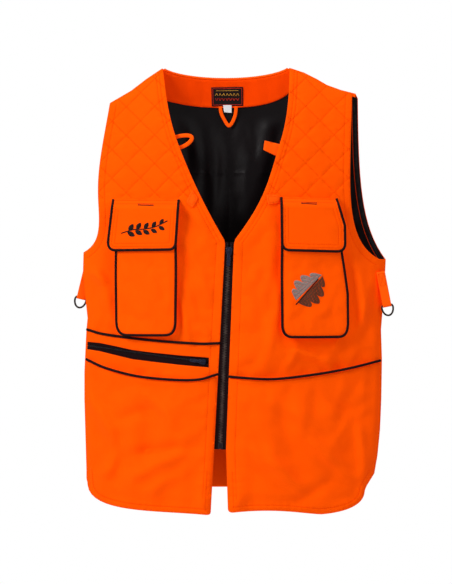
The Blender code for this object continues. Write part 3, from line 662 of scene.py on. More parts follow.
def settle(outline, side, out, held, grow=0.03, cap=4.0, spacing=9.0, push=0.25):
    """How far cloth stands off its lens once it has settled, as a function of flat points.

    A coarse copy is cut a little too large, held where it is sewn, and left to buckle and hang. Blender's
    Cloth does that, and the fine cloth then follows it.
    """
    flat, triangles = fill(even(np.concatenate([outline, outline[:1]]), spacing)[:-1], spacing)
    start = on_lens(side, flat, out)
    rng = np.random.default_rng(7)
    start[:, 1] += rng.normal(0, 0.35, len(start))
    mesh = bpy.data.meshes.new("settling")
    mesh.from_pydata((start * MM).tolist(), [], triangles.tolist())
    obj = bpy.data.objects.new("settling", mesh)
    scene = bpy.context.scene
    scene.collection.objects.link(obj)
    group = obj.vertex_groups.new(name="held")
    weights = 1 - ease((nearest(flat, held)[0] - spacing * 0.5) / (2.0 * spacing))
    for index in np.flatnonzero(weights > 0):
        group.add([int(index)], float(weights[index]), "REPLACE")
    modifier = obj.modifiers.new("cloth", "CLOTH")
    settings = modifier.settings
    settings.quality = 6
    settings.mass = 0.15
    settings.vertex_group_mass = "held"
    settings.tension_stiffness = settings.compression_stiffness = 12.0
    settings.shear_stiffness = 4.0
    settings.bending_stiffness = 0.08
    settings.shrink_min = -grow
    settings.use_pressure = True
    settings.uniform_pressure_force = push
    modifier.collision_settings.use_collision = False
    modifier.point_cache.frame_start, modifier.point_cache.frame_end = 1, SETTLE_FRAMES
    for number in range(1, SETTLE_FRAMES + 1):
        scene.frame_set(number)
    settled = obj.evaluated_get(bpy.context.evaluated_depsgraph_get()).to_mesh()
    moved = np.array([v.co for v in settled.vertices]) / MM
    scene.frame_set(1)
    bpy.data.objects.remove(obj, do_unlink=True)
    stands = np.clip(side * (moved - start)[:, 1], -cap, cap)
    stands = cap * np.tanh(stands / cap) * (1 - weights)
    tree = KDTree(len(flat))
    for number, place in enumerate(flat):
        tree.insert((*place, 0.0), number)
    tree.balance()

    def drape(points):
        found = np.zeros(len(points))
        for number, point in enumerate(points):
            near = tree.find_n((*point, 0.0), 12)
            share = np.exp(-((np.array([n[2] for n in near]) / (0.75 * spacing)) ** 2))
            found[number] = (share * stands[[n[1] for n in near]]).sum() / max(share.sum(), 1e-9)
        return found

    return drape


def weave(outline, rests_on, held="hung"):
    """Works out an outline's area and the list of pieces that it rests on, and keeps neither."""
    area_of(outline) * MM**2
    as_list(rests_on)


def tube(name, route, radius, look, up=(0, 1, 0), sides=12, closed=False, flat=1.0, rib=(0.0, 1.0, 0.0)):
    """A round or flattened tube along a route. rib is the height, pitch and slant of ridges round it."""
    route = np.asarray(route, float)
    along = (np.roll(route, -1, axis=0) - np.roll(route, 1, axis=0)) if closed else np.gradient(route, axis=0)
    along /= np.linalg.norm(along, axis=1, keepdims=True)
    up = np.broadcast_to(np.asarray(up, float), route.shape)
    across = np.cross(along, up)
    across /= np.linalg.norm(across, axis=1, keepdims=True)
    over = np.cross(across, along)
    run = np.concatenate([[0], np.cumsum(np.linalg.norm(np.diff(route, axis=0), axis=1))])
    angle = np.arange(sides) * 2 * math.pi / sides
    height, pitch, slant = rib
    swell = 1 + height * np.sin(2 * math.pi * run[:, None] / pitch + slant * np.cos(angle)[None, :])
    size = np.broadcast_to(np.asarray(radius, float), (len(route),))[:, None] * swell
    points = route[:, None] + (size * np.cos(angle))[..., None] * across[:, None]
    points = points + (size * flat * np.sin(angle))[..., None] * over[:, None]
    rings = len(route)
    faces = []
    for k in range(rings if closed else rings - 1):
        n = (k + 1) % rings
        for j in range(sides):
            i = (j + 1) % sides
            faces.append((k * sides + j, k * sides + i, n * sides + i, n * sides + j))
    if not closed:
        faces += [tuple(range(sides))[::-1], tuple((rings - 1) * sides + j for j in range(sides))]
    cut = np.stack(np.broadcast_arrays(run[:, None], (angle * np.mean(radius))[None, :]), axis=-1)
    return add(name, points.reshape(-1, 3), faces, look, cut.reshape(-1, 2))


def capsules(name, starts, ends, normals, radius, look):
    """Many short threads at once: each is a small rounded bar that dips into the cloth at both ends."""
    starts, ends, normals = (np.asarray(a, float) for a in (starts, ends, normals))
    along = ends - starts
    unit = along / np.maximum(np.linalg.norm(along, axis=1, keepdims=True), 1e-9)
    across = np.cross(unit, normals)
    across /= np.maximum(np.linalg.norm(across, axis=1, keepdims=True), 1e-9)
    over = np.cross(across, unit)
    angle = np.arange(6) * math.pi / 3
    rings = []
    for share, size, lift in ((0, 0.45, -0.35), (0.22, 1, 0.25), (0.78, 1, 0.25), (1, 0.45, -0.35)):
        middle = starts + along * share + normals * radius * lift
        turned = np.cos(angle)[None, :, None] * across[:, None] + np.sin(angle)[None, :, None] * over[:, None]
        rings.append(middle[:, None] + radius * size * turned)
    points = np.stack(rings, axis=1).reshape(-1, 3)
    one = [tuple(range(6))[::-1], tuple(range(18, 24))]
    for k in (0, 6, 12):
        one += [(k + j, k + (j + 1) % 6, k + 6 + (j + 1) % 6, k + 6 + j) for j in range(6)]
    faces = [tuple(24 * number + v for v in face) for number in range(len(starts)) for face in one]
    cut = np.stack([np.repeat((0, 0.6, 2.1, 2.7), 6), np.tile(angle * radius, 4)], axis=1)
    return add(name, points, faces, look, np.tile(cut, (len(starts), 1)))


def on_cloth(flat, surfaces, side=-1):
    """Where flat points land on the outermost of some pieces of cloth, and which way it faces there."""
    found, facing = [], []
    for x, z in flat:
        best = None
        for surface in surfaces:
            hit, normal, _, _ = SURFACES[surface].ray_cast(Vector((x, side * 400, z)), Vector((0, -side, 0)))
            if hit is not None and (best is None or side * hit.y > side * best[0].y):
                best = (hit, normal)
        if best is None:
            best = (Vector((math.nan,) * 3), Vector((0, side, 0)))
        found.append(best[0])
        facing.append(best[1] if best[1].y * side > 0 else -best[1])
    return np.array(found), np.array(facing)


def stitch(name, runs, surfaces, side=-1, look="orange_thread", length=2.7, gap=0.9, radius=0.42):
    """Rows of stitches that lie on cloth, along flat runs."""
    starts, ends, facing = [], [], []
    for run in runs:
        points = even(run, length + gap)
        ahead = np.diff(points, axis=0)
        first = points[:-1] + ahead * gap / 2 / (length + gap)
        last = first + ahead * length / (length + gap)
        a, normal = on_cloth(first, surfaces, side)
        b, _ = on_cloth(last, surfaces, side)
        lies = ~(np.isnan(a[:, 0]) | np.isnan(b[:, 0])) & (abs(a[:, 1] - b[:, 1]) < length)
        starts.append(a[lies])
        ends.append(b[lies])
        facing.append(normal[lies])
    return capsules(name, np.concatenate(starts), np.concatenate(ends), np.concatenate(facing), radius, look)


def ride(obj, body, *nodes):
    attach(obj, body)
    if nodes:
        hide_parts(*nodes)
    return obj


def bend(obj, side, *nodes):
    """Bakes a piece's transform into its mesh, and hides the CAD nodes that it replaces."""
    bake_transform(obj)
    if nodes:
        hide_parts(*nodes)
    return obj


def sew(name, outline, side, out, body, node, rests_on, held="hung", **cut):
    """A piece of cloth on one body, in place of a CAD node."""
    piece = ride(cloth(name, outline, side, out, **cut), body, node)
    weave(outline, rests_on, held)


def cord(name, route, body, node):
    """Round black piping, with the slant of its covering."""
    ride(tube(name, route, PIPING_RADIUS, "dark_piping", rib=(0.06, 2.4, 1.6)), body, node)


# ---------------------------------------------------------------- the fronts


def quilting(side):
    """The diamond quilting of a yoke, as straight runs at both slants."""
    pitch = 48.8
    across, up = (-121.2, -164.2) if side == "right" else (135.5, -163.7)
    runs = []
    for slant in (-1, 1):
        for number in range(-9, 10):
            x = across + number * pitch
            runs.append(even([(x - 190, up - slant * 190), (x + 190, up + slant * 190)], 3.0))
    return runs


def yoke_share(flat):
    """1 where a front is quilted, and 0 below."""
    return ease((flat[:, 1] + 232) / 14)


def front_lines(side):
    """Where a front's outer cloth is sewn: double rows on the V, and a row by the armhole and by the zip."""
    outline = trace(FRONTS[side])
    if side == "right":
        neck = trace([(-109, -1), *FRONTS[side][1:3]], closed=False)
        zip_edge = spaced([(-2, -301), (-26.5, -762)], 3)
        arm = trace([(-243, -315), *FRONTS[side][-4:-2]], closed=False)
    else:
        neck = trace([(16.3, -293), *FRONTS[side][-2:]], closed=False)
        zip_edge = spaced([(3.5, -755), (0.5, -649), (14, -301)], 3)
        arm = trace([(215, -42.5), *FRONTS[side][6:8]], closed=False)
    rows = ((neck, 7.5), (neck, 13.0), (zip_edge, 14.5), (arm, 11.0))
    return [inset_run(run, outline, away) for run, away in rows]


FRONT_FOLDS = {
    "right": [
        ((-80, -385), (-66, -462), 6, 3.0),
        ((-70, -300), (-30, -400), 10, 2.4),
        ((-70, -345), (-40, -440), 8, -2.0),
        ((-228, -330), (-196, -430), 9, 3.0),
        ((-240, -345), (-200, -372), 7, 2.2),
        ((-66, -240), (-28, -300), 10, 2.0),
        ((-215, -424), (-150, -455), 8, 2.2),
        ((-60, -440), (-24, -462), 7, 1.8),
    ],
    "left": [
        ((80, -300), (60, -400), 8, 2.2),
        ((88, -380), (66, -500), 9, 2.8),
        ((222, -330), (234, -450), 9, 3.2),
        ((250, -350), (216, -470), 8, 2.6),
        ((95, -478), (180, -505), 8, 2.6),
        ((40, -340), (72, -430), 10, 1.8),
        ((120, -470), (100, -515), 7, 2.0),
        ((215, -400), (170, -500), 9, 2.4),
    ],
}


def make_front_shell(side):
    outline = trace(FRONTS[side])
    lines = front_lines(side)
    quilt = [between(run[inside(run, outline)], -224, 40) for run in quilting(side)]
    quilt = [run for run in quilt if len(run) > 3]
    quilt_points = np.concatenate(quilt)
    holes = [spaced(POCKET_SLOT, 3, closed=True)] if side == "right" else []
    waist = np.concatenate([smooth_run(WAIST[key]) for key in WAIST if key.startswith(side)])
    held = np.concatenate([outline, quilt_points, trace(POCKETS[side]), waist, *lines[:2]])
    drape = settle(outline, -1, 0.8, held, 0.035, 4.5)

    def out(flat):
        away = nearest(flat, quilt_points)[0]
        edge = ease(nearest(flat, outline)[0] / 16)
        share = yoke_share(flat)
        puff = 1.3 * (1 - np.exp(-((away / 8) ** 1.3))) - 0.45 * np.exp(-((away / 1.6) ** 2))
        lumps = 0.25 * noise(flat, 13, 5)
        loose = 1.5 * noise(flat, 95, 11) + 0.6 * noise(flat, 38, 12, (1.3, 0.7))
        loose = loose + folds(flat, FRONT_FOLDS[side]) + drape(flat)
        above, index = nearest(flat, waist)
        pucker = np.sin(index * 3 / 6.5 + 2 * np.sin(index / 9.0)) * np.exp(-above / 26) * 1.3
        found = 0.8 + edge * (share * (puff + lumps - 0.8) + (1 - share) * (loose + pucker))
        found = found + sewn(flat, lines, 0.55, 1.6, 0.4)
        hidden = ease((-535 - flat[:, 1]) / 20)
        for hole in holes:
            hidden = np.maximum(hidden, 1 - ease((nearest(flat, hole)[0] - 9) / 12))
        return np.maximum(found * (1 - hidden) + 0.8 * hidden, -3.2)

    shell = cloth(f"{side}_shell", outline, -1, out, 1.3, 4.5, [*lines, *quilt], holes)
    bend(shell, side, f"{side}_yoke", f"{side}_yoke_wadding", f"{side}_front_panel")
    weave(outline, [f"{side}_front_lining", "back_panel"])
    threads = stitch(f"{side}_shell_stitching", [*lines, *quilt], [f"{side}_shell"])
    bend(threads, side)


def make_front_lining(side):
    outline = trace(FRONTS[side], step=6)
    inner = offset_in(outline, 6.0)

    def out(flat):
        edge = ease(nearest(flat, inner)[0] / 30)
        return -6.6 + edge * (0.9 * noise(flat, 70, 31, (1.6, 0.5)) + 0.3 * noise(flat, 26, 32))

    lining = cloth(f"{side}_inside", inner, -1, out, 0.6, 8.0, look="black_lining")
    bend(lining, side, f"{side}_yoke_lining", f"{side}_front_lining")
    weave(inner, [f"{side}_shell"])


def offset_in(outline, away):
    """A closed outline drawn in all round, without the points that come out too near its edge."""
    turned = np.concatenate([outline[-1:], outline, outline[:1]])
    moved = shifted(turned, away)[1:-1]
    if inside(moved, outline).mean() < 0.5:
        moved = shifted(turned, -away)[1:-1]
    kept = moved[inside(moved, outline)]
    return kept[nearest(kept, outline)[0] > away - 0.35]


def mouth_of(side):
    line = WAIST["right_lower"] if side == "right" else WAIST["left"]
    return smooth_run(line, 3.0) - np.array((0, MOUTH_DROP))


SKIRT_FOLDS = {
    "right": [
        ((-240, -556), (-184, -650), 11, 4.6),
        ((-182, -600), (-112, -584), 11, -3.2),
        ((-150, -548), (-88, -606), 11, 3.0),
        ((-186, -650), (-214, -700), 11, 3.6),
        ((-172, -664), (-60, -648), 11, -3.0),
        ((-176, -712), (-64, -652), 11, 3.6),
        ((-140, -730), (-70, -690), 11, 3.2),
    ],
    "left": [
        ((30, -640), (150, -742), 13, 4.2),
        ((50, -556), (196, -640), 13, 3.0),
        ((110, -612), (226, -716), 12, 3.4),
        ((160, -560), (238, -612), 11, -2.6),
        ((224, -600), (234, -712), 9, 3.0),
        ((186, -696), (96, -744), 11, -2.4),
    ],
}


def make_skirt(side):
    """The patch pocket across a lower front: it lifts off the panel, and hangs in soft folds."""
    outline = trace(FRONTS[side])
    mouth = mouth_of(side)
    edge = offset_in(outline, 0.5)
    edge = edge[edge[:, 1] < interp(edge[:, 0], mouth) - 1.5]
    start = int(np.argmax(np.linalg.norm(edge - np.roll(edge, 1, axis=0), axis=1)))
    edge = np.roll(edge, -start, axis=0)
    gaps = np.linalg.norm(edge[-1] - mouth[[0, -1]], axis=1)
    shape = np.concatenate([edge, mouth if gaps[0] < gaps[1] else mouth[::-1]])
    hem = np.array([p for p in edge if p[1] < -684])
    sides = np.array([p for p in edge if p[1] > -700])
    by_zip = np.array([p for p in edge if abs(p[0]) < 30 and p[1] > -735])
    lines = [inset_run(even(hem, 3), shape, 9.0), inset_run(even(by_zip, 3), shape, 14.0)]

    drape = settle(shape, -1, 6.0, np.concatenate([mouth, sides]), 0.03, 5.0)

    def out(flat):
        away = nearest(flat, edge)[0]
        lift = np.minimum(1, away / 30) ** 0.6
        found = 2.3 + (LOWER_POCKET_TOP - 2.6) * lift * 0.78
        loose = 1.1 * noise(flat, 90, 41 if side == "right" else 47, (1.4, 0.6)) + 0.4 * noise(flat, 36, 42)
        hang = ease((flat[:, 1] * -1 - 540) / 150)
        found = found + ease(away / 18) * (loose * (0.5 + hang) + folds(flat, SKIRT_FOLDS[side]))
        below, index = nearest(flat, mouth)
        pucker = np.sin(index * 3 / 7.0 + 2 * np.sin(index / 11.0)) * np.exp(-below / 16)
        found = found + 0.7 * pucker * ease(away / 12)
        wave = np.sin(flat[:, 0] / 13.0 + 1.5 * np.sin(flat[:, 0] / 37.0))
        found = found + 1.3 * wave * ease((-flat[:, 1] - 700) / 60) * ease(nearest(flat, sides)[0] / 20)
        return found + sewn(flat, lines, 0.5, 1.5, 0.5) + drape(flat) * ease(away / 20)

    name, front = f"{side}_skirt", f"{side}_front"
    sew(name, shape, -1, out, front, f"{side}_lower_pocket", [f"{side}_shell"], lines=lines)
    ride(stitch(f"{name}_stitching", lines, [name]), front)


def extended(run, by):
    """A run made longer at both ends."""
    first, last = run[0] - run[1], run[-1] - run[-2]
    first, last = first / np.linalg.norm(first), last / np.linalg.norm(last)
    return np.concatenate([[run[0] + first * by[0]], run, [run[-1] + last * by[1]]])


def make_waist_piping():
    for key, node, side, ends in (
        ("right_upper", "right_upper_piping", "right", (1.6, 5.0)),
        ("right_lower", "right_lower_piping", "right", (1.6, 4.0)),
        ("left", "left_waist_piping", "left", (4.0, 2.6)),
    ):
        run = even(extended(smooth_run(WAIST[key], 1.2), ends), 1.2)
        low, below = (0.0, "shell") if key == "right_upper" else (MOUTH_DROP + 1.5, "skirt")
        place, _ = on_cloth(run - np.array((0, low)), [f"{side}_{below}"])
        known = np.flatnonzero(~np.isnan(place[:, 1]))
        out = np.interp(np.arange(len(run)), known, place[known, 1])
        out = np.convolve(np.pad(out, 8, "edge"), np.ones(17) / 17, "valid") - 1.7
        out[:4] += np.linspace(2.2, 0, 4)
        out[-4:] += np.linspace(0, 2.2, 4)
        route = np.stack([run[:, 0], out, run[:, 1]], axis=1)
        cord(node + "_cord", route, f"{side}_front", node)


# ---------------------------------------------------------------- the back


def make_back():
    outline = trace(BACK)

    seams = between(outline, -690, 40)
    drape = settle(outline, 1, 0.8, seams, 0.025, 4.0, 12.0)
    hang = settle(outline, 1, -3.5, seams, 0.04, 3.5, 12.0)

    def shell_out(flat):
        edge = ease(nearest(flat, outline)[0] / 18)
        loose = 1.6 * noise(flat, 150, 61, (1.7, 0.5)) + 0.7 * noise(flat, 60, 62, (1.5, 0.6))
        return 0.8 + np.maximum(edge * (loose + drape(flat)), -0.6) + sewn(flat, back_lines, 0.5, 1.6, 0.4)

    upper = between(outline, -320, -30)
    arms = [upper[upper[:, 0] < -150], upper[upper[:, 0] > 150]]
    back_lines = [inset_run(even(arm, 3), outline, 10.0) for arm in arms]
    back_lines.append(even([(-246, -236), (246, -236)], 3)[4:-4])
    back_lines.append(even([(-228, -708), (244, -708)], 3))
    neck = trace([(-109, -1), BACK[1]], closed=False)
    back_lines.append(inset_run(neck[3:-3], outline, 8.0))
    back_lines = [line[inside(line, outline)] for line in back_lines]
    cut = {"thickness": 1.3, "step": 6.0, "lines": back_lines}
    sew("back_shell", outline, 1, shell_out, "root", "back_panel", ["neck_facing"], **cut)
    ride(stitch("back_stitching", back_lines, ["back_shell"], side=1), "root")

    inner = offset_in(outline, 3.0)
    seam = [even([(5, -30), (5, -700)], 3), even([(-205, -178), (215, -178)], 3)]

    def lining_out(flat):
        edge = ease(nearest(flat, inner)[0] / 25)
        loose = 1.6 * noise(flat, 85, 66, (1.8, 0.35)) + 0.6 * noise(flat, 34, 67, (1.5, 0.5))
        calm = np.maximum(ease((-600 - flat[:, 1]) / 35), ease((flat[:, 1] + 105) / 30))
        falls = loose - folds(flat, LINING_FOLDS) - hang(flat) - 2.4
        found = -3.0 + edge * falls * (1 - calm) + sewn(flat, seam, 0.5, 1.8, 0.3)
        return np.clip(found, -8.5, -1.2)

    cut = {"thickness": 0.6, "step": 6.0, "lines": seam, "look": "black_lining"}
    sew("back_inside", inner, 1, lining_out, "root", "back_lining", ["back_shell"], **cut)


LINING_FOLDS = [
    ((-62, -70), (-50, -260), 12, 2.6),
    ((-30, -90), (-24, -280), 10, 2.0),
    ((38, -90), (30, -280), 11, 2.4),
    ((70, -70), (52, -230), 12, 2.6),
    ((-85, -60), (-40, -180), 10, 1.8),
    ((90, -60), (40, -190), 10, 1.8),
]


def make_neck():
    facing = [(-108, -4), (-75, -26, 75, -26, 108, -3), (116, -30), (104, -56, 60, -66, 0, -66)]
    facing.append((-60, -66, -78, -60, -116, -52))
    outline = trace(facing)

    def out(flat):
        return -5.3 + 0.6 * noise(flat, 36, 71, (1.3, 0.7)) + sewn(flat, lines, 0.4, 1.5, 0.3)

    lines = [inset_run(trace(facing[2:], closed=False), outline, 3.0)]
    # The neck facing takes the darker orange, which is painted shade.
    cut = {"step": 4.0, "lines": lines, "look": "orange_facing_painted_shade"}
    sew("neck_facing_cloth", outline, 1, out, "root", "neck_facing", ["back_inside"], **cut)
    band = [(-228, -716), (224, -716), (247, -690), (256, -642), (-235, -642)]
    band = spaced(band, 4, closed=True)

    def hem_out(flat):
        return -5.2 + 0.5 * noise(flat, 60, 72)

    sew("back_hem_facing_cloth", band, 1, hem_out, "root", "back_hem_facing", ["back_inside"], step=6.0)
    rim = trace([(-109, -1), BACK[1]], closed=False, step=0.8)[6:-6]
    route = on_lens(1, rim, -0.4)
    route[:, 2] += 0.6
    binding = tube("collar_binding_tape", route, 2.3, "orange_tape", rib=(0.07, 3.2, 2.2), flat=1.15)
    ride(binding, "root", "collar_binding")
    label = spaced(((-25, -32), (29, -31), (29.5, -63), (-24, -64)), 2, closed=True)

    def label_out(flat):
        return LABEL_OUT + 0.2 * noise(flat, 30, 73)

    cut = {"thickness": 0.7, "step": 2.0, "look": "label"}
    sew("neck_label_cloth", label, 1, label_out, "root", "neck_label", ["neck_facing_cloth"], "laid", **cut)
    make_label_marks(label)
    tag = spaced(((-5, -62), (9.5, -62), (9.5, -75), (-3, -74)), 1.5, closed=True)

    def tag_out(flat):
        return -7.8 - ease((-62 - flat[:, 1]) / 14) * 1.0

    cut = {"thickness": 0.5, "step": 1.5, "look": "white_tag"}
    sew("size_tag_cloth", tag, 1, tag_out, "root", "size_tag", ["neck_label_cloth"], **cut)


def make_label_marks(label):
    """A plain woven frame, a bar and two rows of chevrons: the label carries no words."""
    rim = offset_in(label, 2.2)
    red, gold = [np.concatenate([rim, rim[:1]])], []
    for x in np.arange(-16, 21, 6.0):
        gold.append([(x - 2.2, -46), (x, -41.5), (x + 2.2, -46)])
        red.append([(x - 2.2, -50), (x, -54.5), (x + 2.2, -50)])
    gold.append([(-17, -37.5), (21, -37)])
    for name, rows, look in (("label_frame", red, "red_thread"), ("label_chevrons", gold, "gold_thread")):
        inner_stitch(name, rows, 1.5, LABEL_OUT, look, radius=0.36, lift=0.5)


def inner_stitch(name, rows, spacing, out, look, radius, lift=0.0):
    """Stitches end to end on the inside of the back, which faces the front."""
    rows = [on_lens(1, even(row, spacing), out) - (0, lift, 0) for row in rows]
    starts, ends = (np.concatenate([row[part] for row in rows]) for part in (slice(0, -1), slice(1, None)))
    ride(capsules(name, starts, ends, np.tile((0.0, -1.0, 0.0), (len(starts), 1)), radius, look), "root")


# ---------------------------------------------------------------- pockets and flaps


def net(name, points, thickness, look="orange_twill", closed=False):
    """Cloth over a net of points, rows by columns. closed joins the last row to the first."""
    rows, columns = points.shape[:2]
    triangles = []
    for k in range(rows if closed else rows - 1):
        n = (k + 1) % rows
        for j in range(columns - 1):
            a, b, c, d = k * columns + j, n * columns + j, n * columns + j + 1, k * columns + j + 1
            triangles += [(a, b, c), (a, c, d)]
    run = np.concatenate([[0], np.cumsum(np.linalg.norm(np.diff(points[:, 0], axis=0), axis=1))])
    rise = np.concatenate([[0], np.cumsum(np.linalg.norm(np.diff(points[0], axis=0), axis=1))])
    flat = np.stack(np.broadcast_arrays(run[:, None], rise[None, :]), axis=-1).reshape(-1, 2)
    return wrap(name, flat, np.array(triangles), points.reshape(-1, 3), thickness, look)


def make_chest_pocket(side):
    """A bellows pocket: a face held off the front by a folded gusset, and piping round the face."""
    outline = trace(POCKETS[side])
    run = trace(POCKETS[side], closed=False)

    drape = settle(outline, -1, POCKET_TOP, run, 0.02, 2.5, 6.0, 0.5)

    def out(flat):
        away = nearest(flat, run)[0]
        below = ease((-312 - flat[:, 1]) / 25)
        soft = 0.6 * noise(flat, 60, 81, (1.3, 0.8)) + folds(flat, POCKET_FOLDS[side]) + drape(flat)
        return POCKET_TOP - 0.7 - 0.9 * np.exp(-away / 2.5) + below * ease(away / 14) * soft

    front, shell = f"{side}_front", f"{side}_shell"
    sew(f"{side}_pocket_face", outline, -1, out, front, f"{side}_chest_pocket", [shell], step=3.5)
    centre = outline.mean(axis=0)
    inward = (centre - run) / np.linalg.norm(centre - run, axis=1, keepdims=True)
    columns = []
    for share in np.linspace(0, 1, 9):
        fold = 2.6 * math.sin(math.pi * share) ** 2 - 2.2 * (1 - share) ** 3
        columns.append(on_lens(-1, run + inward * fold, 1.2 + share * (POCKET_TOP - 2.2)))
    gusset = ride(net(f"{side}_pocket_gusset", np.stack(columns, axis=1), 0.9), front)
    edge = even(run - inward * 1.9, 1.2)
    cord(f"{side}_pocket_cord", on_lens(-1, edge, POCKET_TOP - 1.2), front, f"{side}_pocket_piping")


POCKET_FOLDS = {
    "right": [((-178, -330), (-120, -440), 9, 1.1), ((-100, -330), (-96, -430), 6, 0.9)],
    "left": [((110, -330), (104, -430), 7, 0.9), ((196, -340), (150, -445), 10, 1.0)],
}


def flap_out(side, flat):
    """A flap leaves the front at its top seam and stands over the pocket a finger's width below it."""
    start, end = (np.array(FLAPS[side][k], float) for k in (-1, 0))
    seam = start[1] + (end[1] - start[1]) * (flat[:, 0] - start[0]) / (end[0] - start[0])
    return ON_SHELL + 0.3 + (FLAP_OUT - ON_SHELL) * ease((seam - flat[:, 1]) / 15)


def make_flap(side):
    outline = trace(FLAPS[side])
    down = trace(FLAPS[side], closed=False)
    start, end = (np.array(FLAPS[side][k], float) for k in (-1, 0))
    middle = (start + end) / 2
    slit_ends = [middle + np.array((-13.5, -8.6)), middle + np.array((13.5, -9.8))]
    above, below = ([end + (0, rise) for end in slit_ends] for rise in (0.4, -0.4))
    slit = spaced([*above, *reversed(below)], 2.5, True)
    rows = [inset_run(down[4:-4], outline, away) for away in (4.2, 9.5)]
    rows[1] = between(rows[1], -400, middle[1] - 16)
    tops = [even([start + (2, fall), end + (-2, fall)], 3) for fall in (-1.8, -7.4)]
    lines = [*rows, *tops]

    def out(flat):
        away = nearest(flat, down)[0]
        soft = 0.45 * noise(flat, 55, 91 if side == "right" else 95, (1.0, 1.2))
        seams = sewn(flat, rows, 0.35, 1.4, 0.22, 6, 9) + sewn(flat, tops, 1.1, 1.4, 0.2, 6, 9)
        return flap_out(side, flat) + 0.5 + ease(away / 10) * soft + seams

    flap, piece = f"{side}_flap", f"{side}_flap_cloth"
    cut = {"thickness": 1.5, "step": 3.5, "lines": lines, "holes": [slit]}
    sew(piece, outline, -1, out, flap, flap, [f"{side}_pocket_face"], **cut)
    ride(stitch(f"{flap}_stitching", lines, [piece], radius=0.36), flap)
    edge = even(shifted(down, 1.7 if inside(shifted(down, -1.7), outline).mean() > 0.5 else -1.7), 1.2)
    places = on_lens(-1, edge, flap_out(side, edge) + 0.9)
    cord(f"{flap}_cord", places, flap, f"{flap}_piping")
    # Dark thread along the slit and bars at its ends: the bars tack it, and the dark rows bind its edges and
    # are also painted shade for its dark opening.
    bars = [even(np.array(slit_ends) + np.array((0, rise)), 1.1) for rise in (1.3, 0.7, -0.7, -1.3)]
    bars += [np.array([p + (way, 1.9), p + (way, -1.9)]) for p in slit_ends for way in (-1.0, 0.0, 1.0)]
    thread = {"look": "dark_thread", "length": 1.6, "gap": 0.0, "radius": 0.6}
    ride(stitch(f"{flap}_slit", bars, [piece], **thread), flap)


# ---------------------------------------------------------------- embroidery, of plain plants


def leaf_outline(centre, size, turn, lobes=0):
    """A leaf with a pointed tip, or an oak's round lobes with narrow gaps, turned about its centre."""
    t = np.linspace(0, 1, 97)
    half = 0.30 * np.sin(math.pi * t) ** 0.7
    if lobes:
        notches = 0.55 + 0.45 * abs(np.sin(math.pi * lobes * t)) ** 0.6
        half = 0.46 * np.sin(math.pi * t**0.8) ** 0.6 * notches
    upper = np.stack([t - 0.5, half], axis=1)
    lower = np.stack([t - 0.5, -half], axis=1)[::-1][1:-1]
    shape = np.concatenate([upper, lower]) * size
    c, s = math.cos(turn), math.sin(turn)
    return shape @ np.array(((c, s), (-s, c))) + np.array(centre)


def satin(outline, turn, step=0.62):
    """Threads side by side that fill an outline, at a slant: the start and end of each."""
    c, s = math.cos(turn), math.sin(turn)
    square = outline @ np.array(((c, -s), (s, c)))
    starts, ends = [], []
    for level in np.arange(square[:, 1].min() + step / 2, square[:, 1].max(), step):
        a, b = square, np.roll(square, -1, axis=0)
        hit = (a[:, 1] > level) != (b[:, 1] > level)
        share = (level - a[hit, 1]) / (b[hit, 1] - a[hit, 1])
        x = np.sort(a[hit, 0] + share * (b[hit, 0] - a[hit, 0]))
        for low, high in zip(x[::2], x[1::2]):
            pieces = max(1, round((high - low) / 6))
            for k in range(pieces):
                starts.append((low + (high - low) * k / pieces, level))
                ends.append((low + (high - low) * (k + 1) / pieces, level))
    back = np.array(((c, s), (-s, c)))
    return np.array(starts) @ back, np.array(ends) @ back


def embroider(name, fills, surface, look, body, radius=0.42):
    starts, ends = (np.concatenate(part) for part in zip(*fills))
    a, normal = on_cloth(starts, [surface])
    b, _ = on_cloth(ends, [surface])
    lies = ~(np.isnan(a[:, 0]) | np.isnan(b[:, 0]))
    a, b = a + normal * 0.1, b + normal * 0.1
    ride(capsules(name, a[lies], b[lies], normal[lies], radius, look), body)


def make_embroidery():
    """A sprig on the right flap and an oak leaf on the left pocket, in place of the marks that were there."""
    stem = smooth_run([(-178, -283), (-158, -277), (-140, -276), (-120, -272), (-99, -262)], 0.9)
    fills = [(line[:-1], line[1:]) for line in (shifted(stem, away) for away in (-0.45, 0.0, 0.45))]
    for k, x in enumerate((-165, -152, -139, -126, -113)):
        z = np.interp(x, stem[:, 0], stem[:, 1])
        for way in (1, -1):
            leaf = leaf_outline((x + 4.0, z + way * 5.4), 14.0 - k * 0.7, 0.25 + way * 0.75)
            fills.append(satin(leaf, 0.25 - way * 0.5))
    embroider("sprig_embroidery", fills, "right_flap_cloth", "dark_thread", "right_flap", 0.5)
    centre, turn = np.array((142.0, -377.0)), 0.85
    along = np.array((math.cos(turn), math.sin(turn)))
    leaf = leaf_outline(centre, 62, turn, lobes=4)
    above = (leaf - centre) @ np.array((-along[1], along[0])) > 0
    upper, lower = satin(leaf[above], turn + 0.9), satin(leaf[~above], turn - 0.9)
    embroider("oak_leaf_upper_half", [upper], "left_pocket_face", "grey_thread", "left_front")
    embroider("oak_leaf_lower_half", [lower], "left_pocket_face", "brown_thread", "left_front")
    rib = even([centre - along * 36, centre + along * 22], 1.2)
    ribs = [(line[:-1], line[1:]) for line in (shifted(rib, away) for away in (-0.5, 0.5))]
    embroider("oak_leaf_rib", ribs, "left_pocket_face", "dark_thread", "left_front", 0.6)


# ---------------------------------------------------------------- zips


def heading(line):
    """How long a zip is, and which way it runs."""
    length = float(np.linalg.norm(line[1] - line[0]))
    return length, (line[1] - line[0]) / length


def zip_point(line, down, across=0.0):
    """Flat points at distances down a zip and across it."""
    along = heading(line)[1]
    level = np.array((-along[1], along[0]))
    return line[0] + np.multiply.outer(down, along) + np.multiply.outer(across, level)


